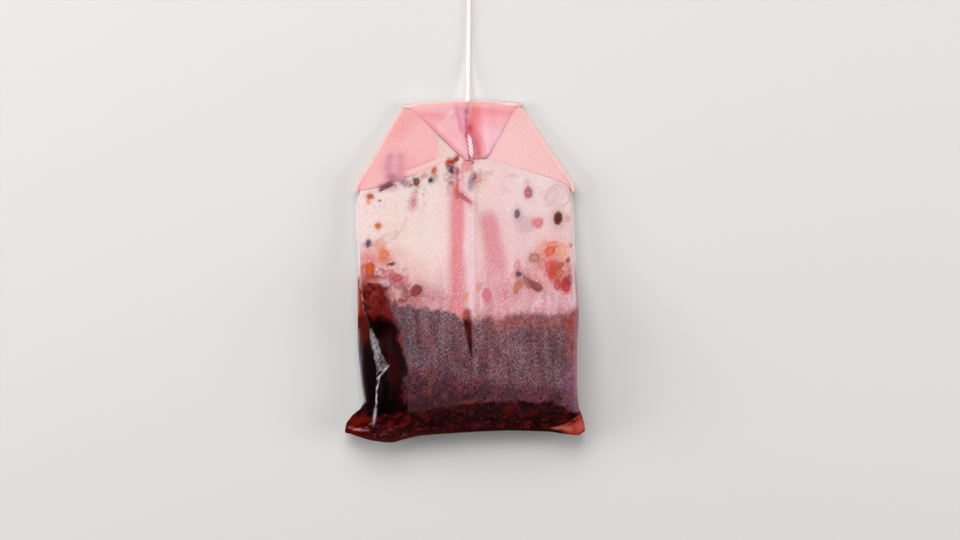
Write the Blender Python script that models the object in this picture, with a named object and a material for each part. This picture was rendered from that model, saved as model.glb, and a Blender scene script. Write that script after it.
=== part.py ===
"""A used two-chamber tea bag, lying on its back, with its thread and tag.

One strip of filter paper was rolled into a flat tube, filled in two places,
folded in a W between the two fillings, and closed by folding the corners and
then the tip over the front. The thread is stitched through the folded tip.

The bag is modelled in its own frame: +Y towards the thread, +Z out of the
front face, z = 0 on the surface that the bag lies on. All the sizes below are
in millimetres, and new_object turns them into metres.
"""

import math

import bmesh
import bpy
import numpy as np
from mathutils import Matrix, Vector

MM = 0.001

# Paper
WALL = 0.15            # one wet ply of filter paper, with the next one stuck to it
HALF_GAP = 0.12        # half of what stays open inside a flattened tube
FLAT = WALL + HALF_GAP
CLEAR = 0.35           # between two pieces, or two folds, that rest on each other

# Lengths along the bag
TUBE_TOP = 31.2        # where both ends of the tube stop, inside the folded tip
FOLD_TOP = 33.1        # the bend of the tip over the ends
CREASE_Y = -31.4       # start of the two bottom creases
VALLEY_Y = -25.0       # top of the W between the chambers
SHOULDER_Y = 15.4      # where the folded corners begin
FLAP_FROM = 16.0       # where a folded corner's slab begins and ends on the bag's side
FLAP_TO = 30.4
SIDE_LEAN = 30.0       # degrees between a sloping shoulder's outward side and X

# Thread and tag
THREAD = 0.9           # diameter of the wet cotton thread
THREAD_X = 0.5
HOLE_Y = 27.4          # where the thread comes out through the tip
PIERCE_X, PIERCE_Y = 1.35, 19.7   # where it goes into the front chamber
COIL_CENTRE = (5.9, 63.0)
COIL_RADIUS = 5.0      # middle of the coil's turns
COIL_HALF = 1.0        # half of the turns' width and height
TAG_SIZE = (22.0, 26.0)
TAG_CORNER = (-23.6, 57.0)
TAG_LEAF = 0.3
OFF_TABLE = 0.25       # the thread's fuzz and the card's curl hold both off the table

RING_POINTS = 24
TEA_END = -28.6        # the bottom of the tea in both chambers
EDGE_POWER = 12        # how late a flattened section closes at its sides
BOX_POWER = 3.0        # how square a filled section is


def smooth(*knots):
    """A curve through (position, value) pairs that never overshoots them."""
    places, values = np.array(sorted(knots), dtype=float).T
    slopes = np.diff(values) / np.diff(places)
    tangents = np.zeros_like(values)
    tangents[0], tangents[-1] = slopes[0], slopes[-1]
    for i in range(1, len(values) - 1):
        product = slopes[i - 1] * slopes[i]
        if product > 0:
            tangents[i] = 2 * product / (slopes[i - 1] + slopes[i])

    def at(place):
        place = min(max(place, places[0]), places[-1])
        i = min(max(int(np.searchsorted(places, place)) - 1, 0), len(places) - 2)
        span = places[i + 1] - places[i]
        t = (place - places[i]) / span
        return float(
            (1 + 2 * t) * (1 - t) ** 2 * values[i]
            + t * (1 - t) ** 2 * span * tangents[i]
            + t * t * (3 - 2 * t) * values[i + 1]
            + t * t * (t - 1) * span * tangents[i + 1]
        )

    return at


def ease(value):
    """0 below 0, 1 above 1, and a soft step between."""
    value = min(max(value, 0.0), 1.0)
    return value * value * (3 - 2 * value)


# The bag's outline and the height of each chamber's two faces, along Y.
BACK_LEFT = smooth(
    (31.6, -11.4), (27.5, -13.7), (23.5, -16.0), (19.5, -18.3), (15.8, -20.4), (9.6, -21.0),
    (1.9, -20.8), (-13.5, -20.8), (-19.3, -20.4), (-23.1, -20.0), (-25.8, -19.6),
    (-27.6, -21.0), (-29.5, -22.8), (-31.4, -23.15),
)
BACK_RIGHT = smooth(
    (31.6, 10.6), (27.5, 13.1), (23.5, 15.6), (19.5, 18.1), (16.2, 20.2), (5.8, 21.2),
    (-3.9, 21.6), (-8.7, 21.9), (-15.0, 21.5), (-20.2, 21.6), (-24.1, 21.8),
    (-27.0, 22.2), (-29.5, 23.0), (-31.4, 23.15),
)
FRONT_LEFT_INSET = smooth(
    (31.6, 0.5), (10.0, 0.6), (-4.0, 0.8), (-7.5, 1.3), (-10.6, 2.4), (-14.0, 2.6), (-19.0, 3.3),
    (-22.7, 2.9), (-26.2, 2.2), (-28.5, 1.9), (-31.4, 0.0),
)
FRONT_RIGHT_INSET = smooth(
    (31.6, 0.5), (10.0, 0.6), (-4.0, 0.8), (-14.0, 1.2), (-22.0, 1.2), (-29.0, 0.3), (-31.4, 0.0),
)
BACK_LOW = smooth(
    (31.6, -0.05), (20.0, -0.15), (0.0, -0.3), (-24.0, -0.3), (-28.0, 0.25), (-30.0, 1.1), (-31.4, 2.13),
)
BACK_HIGH = smooth(
    (31.6, 0.9), (26.0, 1.2), (20.0, 1.9), (14.0, 2.4), (6.0, 3.0), (0.0, 3.8), (-4.0, 5.0),
    (-8.0, 6.2), (-14.0, 6.8), (-20.0, 6.5), (-24.0, 5.5), (-28.0, 4.1), (-30.0, 3.3), (-31.4, 2.67),
)
FRONT_LOW = smooth(
    (31.6, 1.25), (26.0, 1.55), (20.0, 2.25), (14.0, 2.75), (6.0, 3.35), (0.0, 4.15), (-4.0, 5.35),
    (-8.0, 6.55), (-14.0, 7.15), (-20.0, 7.2), (-24.0, 7.8), (-26.0, 7.8), (-28.0, 7.4),
    (-30.0, 6.8), (-31.4, 6.53),
)
FRONT_HIGH = smooth(
    (31.6, 2.15), (26.0, 2.9), (20.0, 4.3), (14.0, 5.5), (6.0, 6.8), (0.0, 8.6), (-4.0, 11.0),
    (-8.0, 13.4), (-14.0, 14.9), (-20.0, 14.8), (-24.0, 14.0), (-26.0, 13.0), (-28.0, 11.4),
    (-30.0, 9.2), (-31.4, 7.07),
)
# how much a section thins towards its sides, like a fin
FIN = smooth((31.6, 0.1), (10.0, 0.0), (-24.0, 0.0), (-27.0, 0.5), (-29.5, 1.2), (-31.4, 0.0))
# how much lower the front face is on its left side, where the chamber is slack
LEFT_FALL = smooth((6.0, 0.0), (-8.0, 0.25), (-14.0, 0.42), (-24.0, 0.42), (-30.0, 0.0))
EDGE_HEIGHT = 0.45     # where a section's side edge is, between its low and high face


def droop(x, y):
    """How far the wet paper hangs down at the bottom left corner."""
    return -0.85 * math.exp(-(((x + 15.0) / 5.0) ** 2)) * ease((VALLEY_Y - y) / 6.5)


def profile(u, fin):
    """Height of a section at u, from 1 in the middle to 0 at its sides."""
    return (1 - min(abs(u), 1.0) ** BOX_POWER) ** (0.5 + fin)


class Station:
    """One cross-section of the paper tube, on a path in the YZ plane."""

    def __init__(self, y, z, left, right, outer, inner, fin=0.0, fall=0.0, on_floor=False):
        self.y, self.z = y, z
        self.left, self.right = left, right
        self.outer, self.inner = outer, inner    # heights along the normal and against it
        self.fin, self.fall = fin, fall
        self.on_floor = on_floor
        self.normal = (0.0, 1.0)

    def point(self, angle, inset, trim=0.0):
        """A point of the section, inset from the paper's outer face and trimmed at its sides."""
        u = math.cos(angle)
        side = math.sin(angle)
        middle = (self.left + self.right) / 2
        half = (self.right - self.left) / 2 - inset - trim
        reach = self.outer if side > 0 else self.inner
        height = max(reach - FLAT, 0.0) * profile(u, self.fin)
        if side > 0:
            height *= 1 - self.fall * ease((-u - 0.3) / 0.6)
        if trim:
            height *= (reach - inset) / reach
        else:
            height += (FLAT - inset) * math.sqrt(max(1 - u**EDGE_POWER, 0.0))
        height = math.copysign(height, side) if abs(side) > 1e-9 else 0.0
        x = middle + half * u
        y = self.y + self.normal[0] * height
        z = self.z + self.normal[1] * height
        if self.on_floor:
            z = max(z, inset)
        return Vector((x, y + droop(x, self.y), z))

    def ring(self, inset, trim=0.0):
        step = 2 * math.pi / RING_POINTS
        return [self.point(k * step, inset, trim) for k in range(RING_POINTS)]


def front_station(y):
    low, high = FRONT_LOW(y), FRONT_HIGH(y)
    z = low + EDGE_HEIGHT * (high - low)
    left = BACK_LEFT(y) + FRONT_LEFT_INSET(y)
    right = BACK_RIGHT(y) - FRONT_RIGHT_INSET(y)
    return Station(y, z, left, right, high - z, z - low, FIN(y), LEFT_FALL(y))


def back_station(y):
    low, high = BACK_LOW(y), BACK_HIGH(y)
    z = low + EDGE_HEIGHT * (high - low)
    return Station(y, z, BACK_LEFT(y), BACK_RIGHT(y), z - low, high - z, FIN(y), on_floor=True)


def flat_station(y, z):
    """A section of the flattened tube between the chambers."""
    return Station(y, z, BACK_LEFT(y), BACK_RIGHT(y), FLAT, FLAT)


def turn(y, z_from, z_to, towards, steps=4):
    """Flat sections round a half-round crease that opens along Y."""
    radius = (z_from - z_to) / 2
    centre = (z_from + z_to) / 2
    angles = [math.pi * (i + 1) / (steps + 1) for i in range(steps)]
    return [flat_station(y + towards * radius * math.sin(a), centre + radius * math.cos(a)) for a in angles]


def front_top(x, y):
    """Height of the front face's outer side at a point, along the chords of its section."""
    upper = front_station(y).ring(0.0)[: RING_POINTS // 2 + 1]
    return float(np.interp(x, [p.x for p in reversed(upper)], [p.z for p in reversed(upper)]))


def tube_stations():
    """The whole tube, from its front end through the W to its back end."""
    down = [TUBE_TOP, 28.5, 25.5, 22.5, 19.5, SHOULDER_Y, 10.5, 5.5, 1.0, -3.0, -6.5, -10.0, -14.5,
            -19.5, -24.0, -27.0, -29.3, CREASE_Y]
    front = [front_station(y) for y in down]
    back = [back_station(y) for y in reversed(down)]
    leg_front = [flat_station(CREASE_Y, 5.6), flat_station(-28.2, 6.47), flat_station(VALLEY_Y, 7.35)]
    leg_back = [flat_station(VALLEY_Y, 6.25), flat_station(-28.2, 4.92), flat_station(CREASE_Y, 3.6)]
    stations = (
        front
        + turn(CREASE_Y, front[-1].z, leg_front[0].z, -1)
        + leg_front
        + turn(VALLEY_Y, leg_front[-1].z, leg_back[0].z, 1)
        + leg_back
        + turn(CREASE_Y, leg_back[-1].z, back[0].z, -1)
        + back
    )
    first_turn, last_turn = len(front), len(stations) - len(back)
    for i, station in enumerate(stations):
        if i < first_turn:
            station.normal = (0.0, 1.0)
        elif i >= last_turn:
            station.normal = (0.0, -1.0)
        else:
            before, after = stations[i - 1], stations[i + 1]
            along = Vector((after.y - before.y, after.z - before.z)).normalized()
            station.normal = (along.y, -along.x)
    return stations


# The tip, folded from the back over both ends and down the front:
# path of the ply (y, z), and its left and right edge.
TIP_BEND = [
    (32.2, 0.20, -11.4, 10.7),
    (32.85, 0.80, -11.3, 10.7),
    (33.05, 1.60, -11.3, 10.7),
    (32.8, 2.45, -11.2, 10.6),
    (32.1, 2.95, -11.0, 10.4),
]
TIP_LEFT = smooth((31.4, -10.5), (30.0, -9.0), (26.0, -4.9), (22.5, -1.3), (21.3, -0.3))
TIP_RIGHT = smooth((31.4, 9.9), (30.0, 9.0), (26.0, 6.8), (22.5, 4.8), (21.3, 4.3))
TIP_END = 21.3
TIP_RIDGE = 1.15       # how far the thread under it lifts the tip
TIP_REST = WALL + 2 * CLEAR + WALL / 2   # middle of the tip's ply over the front face


def ridge(x, y):
    """The tip's rise over the hidden thread."""
    return TIP_RIDGE * math.exp(-(((x - THREAD_X) / 1.5) ** 2)) * ease((y - 24.5) / 2.5)


def tip_rows():
    """Sections of the folded tip: pairs of outer and inner points, right to left."""
    columns = [math.cos(math.pi * j / (RING_POINTS // 2)) for j in range(RING_POINTS // 2 + 1)]
    path = list(TIP_BEND)
    for y in (31.2, 30.0, 28.6, 27.4, 26.2, 25.0, 23.8, 22.5, TIP_END):
        path.append((y, front_top(THREAD_X, y) + TIP_REST, TIP_LEFT(y), TIP_RIGHT(y)))
    rows = []
    for i, (y, z, left, right) in enumerate(path):
        before = path[i - 1] if i else (31.2, WALL / 2)
        after = path[i + 1] if i + 1 < len(path) else (y - 1.0, z + 0.2)
        along = Vector((after[0] - before[0], after[1] - before[1])).normalized()
        out = Vector((0.0, along.y, -along.x)) * (WALL / 2)
        outer, inner = [], []
        for u in columns:
            x = (left + right) / 2 + (right - left) / 2 * u
            centre = Vector((x, y, z + ridge(x, y) * ease((z - 1.0) / 2.0)))
            outer.append(centre + out)
            inner.append(centre - out)
        rows.append((outer, inner))
    return rows


def new_object(name, points, faces, material=None):
    """A mesh object from points in millimetres, with its faces turned outwards."""
    mesh = bpy.data.meshes.new(name)
    mesh.from_pydata([Vector(p) * MM for p in points], [], faces)
    shape = bmesh.new()
    shape.from_mesh(mesh)
    bmesh.ops.recalc_face_normals(shape, faces=shape.faces)
    is_closed = all(edge.is_manifold for edge in shape.edges)
    if is_closed and shape.calc_volume(signed=True) < 0:
        bmesh.ops.reverse_faces(shape, faces=shape.faces)
    shape.to_mesh(mesh)
    shape.free()
    mesh.shade_smooth()
    mesh.set_sharp_from_angle(angle=math.radians(50))
    thing = bpy.data.objects.new(name, mesh)
    bpy.context.scene.collection.objects.link(thing)
    if material:
        mesh.materials.append(material)
    return thing


def finish(name, colour, roughness):
    """A Principled material with one colour."""
    material = bpy.data.materials.new(name)
    material.use_nodes = True
    shader = material.node_tree.nodes["Principled BSDF"]
    shader.inputs["Base Color"].default_value = (*colour, 1.0)
    shader.inputs["Roughness"].default_value = roughness
    shader.inputs["Metallic"].default_value = 0.0
    return material


def bridge(faces, first, second):
    """Quads between two closed loops of point numbers."""
    count = len(first)
    for k in range(count):
        n = (k + 1) % count
        faces.append((first[k], first[n], second[n], second[k]))


def strip(faces, first, second):
    """Quads between two open rows of point numbers."""
    for k in range(len(first) - 1):
        faces.append((first[k], first[k + 1], second[k + 1], second[k]))


def paper_shell(material):
    """The tube with its wall, both ends open, and the tip that goes on from its back ply."""
    points, faces = [], []

    def add(row):
        start = len(points)
        points.extend(row)
        return list(range(start, start + len(row)))

    stations = tube_stations()
    outer = [add(s.ring(0.0)) for s in stations]
    inner = [add(s.ring(WALL)) for s in stations]
    for i in range(len(stations) - 1):
        bridge(faces, outer[i], outer[i + 1])
        bridge(faces, inner[i], inner[i + 1])
    bridge(faces, outer[0], inner[0])

    half = RING_POINTS // 2
    last_outer = outer[-1][: half + 1]
    last_inner = inner[-1][: half + 1]
    far_outer = outer[-1][half:] + outer[-1][:1]
    far_inner = inner[-1][half:] + inner[-1][:1]
    strip(faces, far_outer, far_inner)
    for row_outer, row_inner in tip_rows():
        next_outer, next_inner = add(row_outer), add(row_inner)
        strip(faces, last_outer, next_outer)
        strip(faces, last_inner, next_inner)
        for side in (0, -1):
            faces.append((last_outer[side], next_outer[side], next_inner[side], last_inner[side]))
        last_outer, last_inner = next_outer, next_inner
    strip(faces, last_outer, last_inner)
    return new_object("filter_paper", points, faces, material)


def corner_flap(name, side, inner_edge):
    """A corner folded round the shoulder and over the front, as a thin closed slab."""
    rows = []
    count = len(inner_edge)
    for i, (end_x, end_y) in enumerate(inner_edge):
        y = FLAP_FROM + (FLAP_TO - FLAP_FROM) * (i / (count - 1)) ** 1.15
        edge_x = BACK_LEFT(y) if side < 0 else BACK_RIGHT(y)
        back, front = back_station(y), front_station(y)
        lean = math.radians(SIDE_LEAN)
        outward = Vector((side * math.cos(lean), math.sin(lean), 0.0))
        edge = Vector((edge_x, y, 0.0))
        row = [
            edge - outward * 0.05 + Vector((0, 0, back.z)),
            edge + outward * 0.42 + Vector((0, 0, back.z + 0.1)),
            edge + outward * 0.66 + Vector((0, 0, (back.z + front.z) / 2 + 0.2)),
            edge + outward * 0.40 + Vector((0, 0, front.z + 0.45)),
        ]
        start = edge - outward * 0.45
        end = Vector((end_x, end_y, 0.0))
        for step in range(6):
            spot = start.lerp(end, step / 5)
            lift = WALL / 2 + CLEAR + 0.12 * math.exp(-step)
            row.append(Vector((spot.x, spot.y, front_top(spot.x, spot.y) + lift)))
        rows.append(row)
    width = len(rows[0])
    points = [p for row in rows for p in row]
    faces = []
    for i in range(count - 1):
        first = list(range(i * width, (i + 1) * width))
        strip(faces, first, [k + width for k in first])
    flap = new_object(name, points, faces)
    thick = flap.modifiers.new("ply", "SOLIDIFY")
    thick.thickness = WALL * MM
    thick.offset = 0.0
    thick.use_even_offset = True
    hide_guide(flap)
    return flap


def hide_guide(thing):
    thing.hide_render = True
    thing.display_type = "WIRE"


def hole_cutter(name, centre, radii, length, along):
    """A round cutter for one of the thread's holes."""
    shape = bmesh.new()
    bmesh.ops.create_cone(shape, cap_ends=True, segments=12, radius1=1, radius2=1, depth=1)
    stretch = Matrix.Diagonal((radii[0] * MM, radii[1] * MM, length * MM, 1.0))
    turned = Vector(along).to_track_quat("Z", "Y").to_matrix().to_4x4()
    place = Matrix.Translation(Vector(centre) * MM)
    bmesh.ops.transform(shape, matrix=place @ turned @ stretch, verts=shape.verts)
    mesh = bpy.data.meshes.new(name)
    shape.to_mesh(mesh)
    shape.free()
    cutter = bpy.data.objects.new(name, mesh)
    bpy.context.scene.collection.objects.link(cutter)
    hide_guide(cutter)
    return cutter


def join_or_cut(target, other, operation):
    step = target.modifiers.new(other.name, "BOOLEAN")
    step.object = other
    step.operation = operation
    step.solver = "EXACT"


def clump(name, station_at, top_line, bottom, material):
    """Wet tea in one chamber: a closed lump that follows the chamber's inside."""
    inset, trim = WALL + CLEAR, 1.6
    widest_y = -15.0
    depths = [0.0, 0.04, 0.12, 0.24, 0.38, 0.52, 0.66, 0.80, 0.92, 1.0]
    swell = [0.35, 0.62, 0.86, 1.0, 1.0, 1.0, 1.0, 1.0, 0.9, 0.55]
    points, faces, loops = [], [], []
    for depth, full in zip(depths, swell):
        loop = []
        for k in range(RING_POINTS):
            angle = 2 * math.pi * k / RING_POINTS
            side = math.copysign(1, math.sin(angle)) if k % (RING_POINTS // 2) else 0
            x = station_at(widest_y).point(angle, inset, trim).x
            top = top_line(x)
            station = station_at(top + (bottom - top) * depth)
            if station.on_floor:
                station.normal = (0.0, -1.0)
            p = station.point(angle, inset, trim)
            lumps = abs(math.sin(1.3 * x + 2.0 * station.y) * math.sin(0.9 * station.y + k))
            p.z = station.z + (p.z - station.z) * full
            p.z -= side * station.normal[1] * 0.17 * lumps * full
            loop.append(p)
        loops.append(list(range(len(points), len(points) + len(loop))))
        points.extend(loop)
    for first, second in zip(loops, loops[1:]):
        bridge(faces, first, second)
    faces.append(tuple(loops[0]))
    faces.append(tuple(reversed(loops[-1])))
    return new_object(name, points, faces, material)


def tube(name, route, material):
    """A thread's run: a smooth curve through the route, as points 2 diameters apart."""
    places = [Vector(p) for p in route]
    fine = []
    for i in range(len(places) - 1):
        p0 = places[max(i - 1, 0)]
        p1, p2 = places[i], places[i + 1]
        p3 = places[min(i + 2, len(places) - 1)]
        for s in range(12):
            t = s / 12
            fine.append(
                0.5 * (2 * p1 + (p2 - p0) * t + (2 * p0 - 5 * p1 + 4 * p2 - p3) * t**2
                       + (3 * p1 - p0 - 3 * p2 + p3) * t**3)
            )
    fine.append(places[-1])
    spaced = [fine[0]]
    for p in fine[1:-1]:
        if (p - spaced[-1]).length >= 1.6 * THREAD:
            spaced.append(p)
    if (fine[-1] - spaced[-1]).length < 0.8 * THREAD:
        spaced.pop()
    spaced.append(fine[-1])

    curve = bpy.data.curves.new(name, "CURVE")
    curve.dimensions = "3D"
    curve.bevel_depth = THREAD / 2 * MM
    curve.bevel_resolution = 2
    curve.use_fill_caps = True
    line = curve.splines.new("POLY")
    line.points.add(len(spaced) - 1)
    for point, place in zip(line.points, spaced):
        point.co = (*(place * MM), 1.0)
    curve.materials.append(material)
    thing = bpy.data.objects.new(name, curve)
    bpy.context.scene.collection.objects.link(thing)
    return thing


def coil(name, material):
    """The put-away length of the thread: a ring round the outside of its turns."""
    sides = 36
    outline = [
        (-0.7, -1.0), (0.7, -1.0), (1.0, -0.6), (1.0, 0.6),
        (0.7, 1.0), (-0.7, 1.0), (-1.0, 0.6), (-1.0, -0.6),
    ]
    points, faces, loops = [], [], []
    for i in range(sides):
        angle = 2 * math.pi * i / sides
        loop = []
        for across, up in outline:
            radius = COIL_RADIUS + across * COIL_HALF
            loop.append(Vector((
                COIL_CENTRE[0] + radius * math.cos(angle),
                COIL_CENTRE[1] + radius * math.sin(angle),
                OFF_TABLE + COIL_HALF * (1 + up),
            )))
        loops.append(list(range(len(points), len(points) + len(loop))))
        points.extend(loop)
    for i in range(sides):
        bridge(faces, loops[i], loops[(i + 1) % sides])
    return new_object(name, points, faces, material)


def tag(name, material):
    """A blank card tag, folded over the thread's end."""
    width, length = TAG_SIZE
    left, near = TAG_CORNER
    inside = THREAD + 2 * CLEAR
    height = inside + 2 * TAG_LEAF
    centre = height / 2
    fold = near + length - centre
    outer = [(near, 0.0), (fold, 0.0)]
    inner = [(near, TAG_LEAF), (fold, TAG_LEAF)]
    for i in range(1, 6):
        angle = math.pi * i / 6
        outer.append((fold + centre * math.sin(angle), centre - centre * math.cos(angle)))
        inner.append((fold + inside / 2 * math.sin(angle), centre - inside / 2 * math.cos(angle)))
    outer += [(fold, height), (near, height)]
    inner += [(fold, height - TAG_LEAF), (near, height - TAG_LEAF)]
    outline = outer + inner[::-1]
    points = [(x, y, OFF_TABLE + z) for x in (left, left + width) for y, z in outline]
    count = len(outline)
    faces = []
    bridge(faces, list(range(count)), list(range(count, 2 * count)))
    half = len(outer)
    for base in (0, count):
        strip(faces, [base + i for i in range(half)], [base + count - 1 - i for i in range(half)])
    return new_object(name, points, faces, material)


def bit(name, kind, x, y, length, width, thick, turn_deg, material):
    """A piece of fruit, seed or stalk that sticks to the inside of the front ply."""
    shapes = {"seed": (10, 6, 2.0), "petal": (12, 4, 4.0), "stick": (8, 6, 6.0), "shred": (7, 4, 2.4)}
    around, layers, power = shapes[kind]
    angle = math.radians(turn_deg)
    along = Vector((math.cos(angle), math.sin(angle), 0.0))
    across = Vector((-math.sin(angle), math.cos(angle), 0.0))
    # the face's own slope, so that the piece lies along it and stays under it
    slope_x = front_top(x + 0.5, y) - front_top(x - 0.5, y)
    slope_y = front_top(x, y + 0.5) - front_top(x, y - 0.5)
    reach_along, reach_across = along * length * 0.6, across * width * 0.6
    base = front_top(x, y)
    for offset in (reach_along, -reach_along, reach_across, -reach_across):
        level_there = front_top(x + offset.x, y + offset.y)
        base = min(base, level_there - slope_x * offset.x - slope_y * offset.y)
    loops, points, faces = [], [], []
    for layer in range(layers + 1):
        level = -math.cos(math.pi * layer / layers)
        spread = (1 - abs(level) ** 2.6) ** 0.5 if 0 < layer < layers else 0.45
        loop = []
        for k in range(around):
            a = 2 * math.pi * k / around
            c, s = math.cos(a), math.sin(a)
            rim = (abs(c) ** power + abs(s) ** power) ** (-1 / power)
            wave = 1 + 0.12 * math.sin(3 * a + x) + 0.07 * math.sin(5 * a + y)
            radius = rim * wave * spread / 2
            offset = along * (c * radius * length) + across * (s * radius * width)
            height = base - WALL - CLEAR - thick / 2 + level * thick / 2
            height += slope_x * offset.x + slope_y * offset.y
            loop.append(Vector((x + offset.x, y + offset.y, height)))
        loops.append(list(range(len(points), len(points) + around)))
        points.extend(loop)
    for first, second in zip(loops, loops[1:]):
        bridge(faces, first, second)
    faces.append(tuple(loops[0]))
    faces.append(tuple(reversed(loops[-1])))
    return new_object(name, points, faces, material)


# Pieces seen through the front ply: name, kind, x, y, length, width, thickness, turn, colour.
BITS = [
    ("stalk_maroon", "stick", -14.9, 16.6, 2.6, 0.6, 0.5, 27, "hibiscus"),
    ("seed_brown_oval", "seed", -9.3, 17.2, 1.7, 1.3, 0.7, 80, "seed_brown"),
    ("petal_orange_top", "petal", -6.0, 19.2, 1.4, 1.0, 0.4, 75, "peel_orange"),
    ("seed_black_top", "seed", -6.7, 17.4, 0.8, 0.8, 0.6, 0, "seed_dark"),
    ("shred_red_top", "shred", -2.6, 20.9, 1.1, 0.9, 0.5, 20, "hibiscus_red"),
    ("shred_purple_top", "shred", -2.6, 19.2, 1.0, 0.9, 0.5, 60, "hibiscus"),
    ("stalk_red", "stick", 0.0, 13.8, 2.6, 0.65, 0.55, -42, "hibiscus_red"),
    ("petal_smudge", "petal", -10.0, 13.1, 1.9, 1.5, 0.4, 70, "petal_pink"),
    ("peel_ring", "petal", -18.3, 14.2, 1.1, 0.9, 0.35, 0, "peel_orange"),
    ("shred_orange_left", "shred", -16.8, 8.5, 1.0, 0.9, 0.5, 0, "peel_orange"),
    ("petal_arrow", "petal", 12.2, 15.0, 2.1, 1.4, 0.45, 85, "hibiscus_red"),
    ("seed_grey", "seed", 10.1, 11.0, 1.8, 1.2, 0.7, 80, "seed_dark"),
    ("seed_round_brown", "seed", 17.9, 10.1, 2.4, 1.9, 0.7, 80, "seed_brown"),
    ("petal_square", "petal", 14.1, 9.1, 1.7, 1.5, 0.45, 10, "petal_pink"),
    ("leaf_faint", "petal", 16.6, 14.4, 3.8, 2.8, 0.35, 60, "petal_pink"),
    ("shred_violet", "shred", -18.7, 5.2, 1.5, 0.8, 0.5, 85, "seed_dark"),
    ("petal_outline_left", "petal", -15.0, 6.2, 5.0, 2.6, 0.35, 30, "petal_pink"),
    ("peel_pink_left", "petal", -15.6, 2.9, 1.8, 1.7, 0.6, 20, "petal_pink"),
    ("shred_dark_left", "shred", -14.0, 1.2, 1.1, 0.8, 0.5, 10, "seed_dark"),
    ("peel_orange_left", "petal", -18.4, 0.2, 2.5, 1.4, 0.6, 85, "peel_orange"),
    ("clump_red_left", "shred", -12.9, -1.6, 2.4, 1.6, 0.9, 15, "hibiscus_red"),
    ("clump_brown_left", "shred", -9.3, -3.9, 1.8, 1.6, 0.9, 50, "seed_brown"),
    ("drop_pink", "petal", 4.4, -4.9, 2.5, 1.4, 0.7, 85, "petal_pink"),
    ("seed_blue_grey", "seed", 10.4, -0.9, 1.0, 1.0, 0.7, 0, "seed_dark"),
    ("leaf_tan", "petal", 10.0, -3.2, 2.7, 1.5, 0.5, 70, "petal_pink"),
    ("wing_brown", "petal", 13.2, -2.9, 2.9, 1.3, 0.5, -40, "seed_brown"),
    ("berry_tan", "seed", 13.3, 2.4, 1.9, 1.7, 1.0, 0, "peel_orange"),
    ("peel_orange_right", "petal", 16.2, 3.6, 2.3, 1.9, 0.7, 30, "peel_orange"),
    ("shred_red_right", "shred", 16.8, -0.2, 3.4, 1.4, 0.8, 88, "hibiscus_red"),
    ("shred_dark_right", "shred", 19.3, -2.3, 2.4, 1.1, 0.6, 80, "hibiscus_red"),
    ("seed_brown_right", "seed", 18.5, 0.9, 1.4, 1.1, 0.7, 40, "seed_brown"),
]


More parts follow.
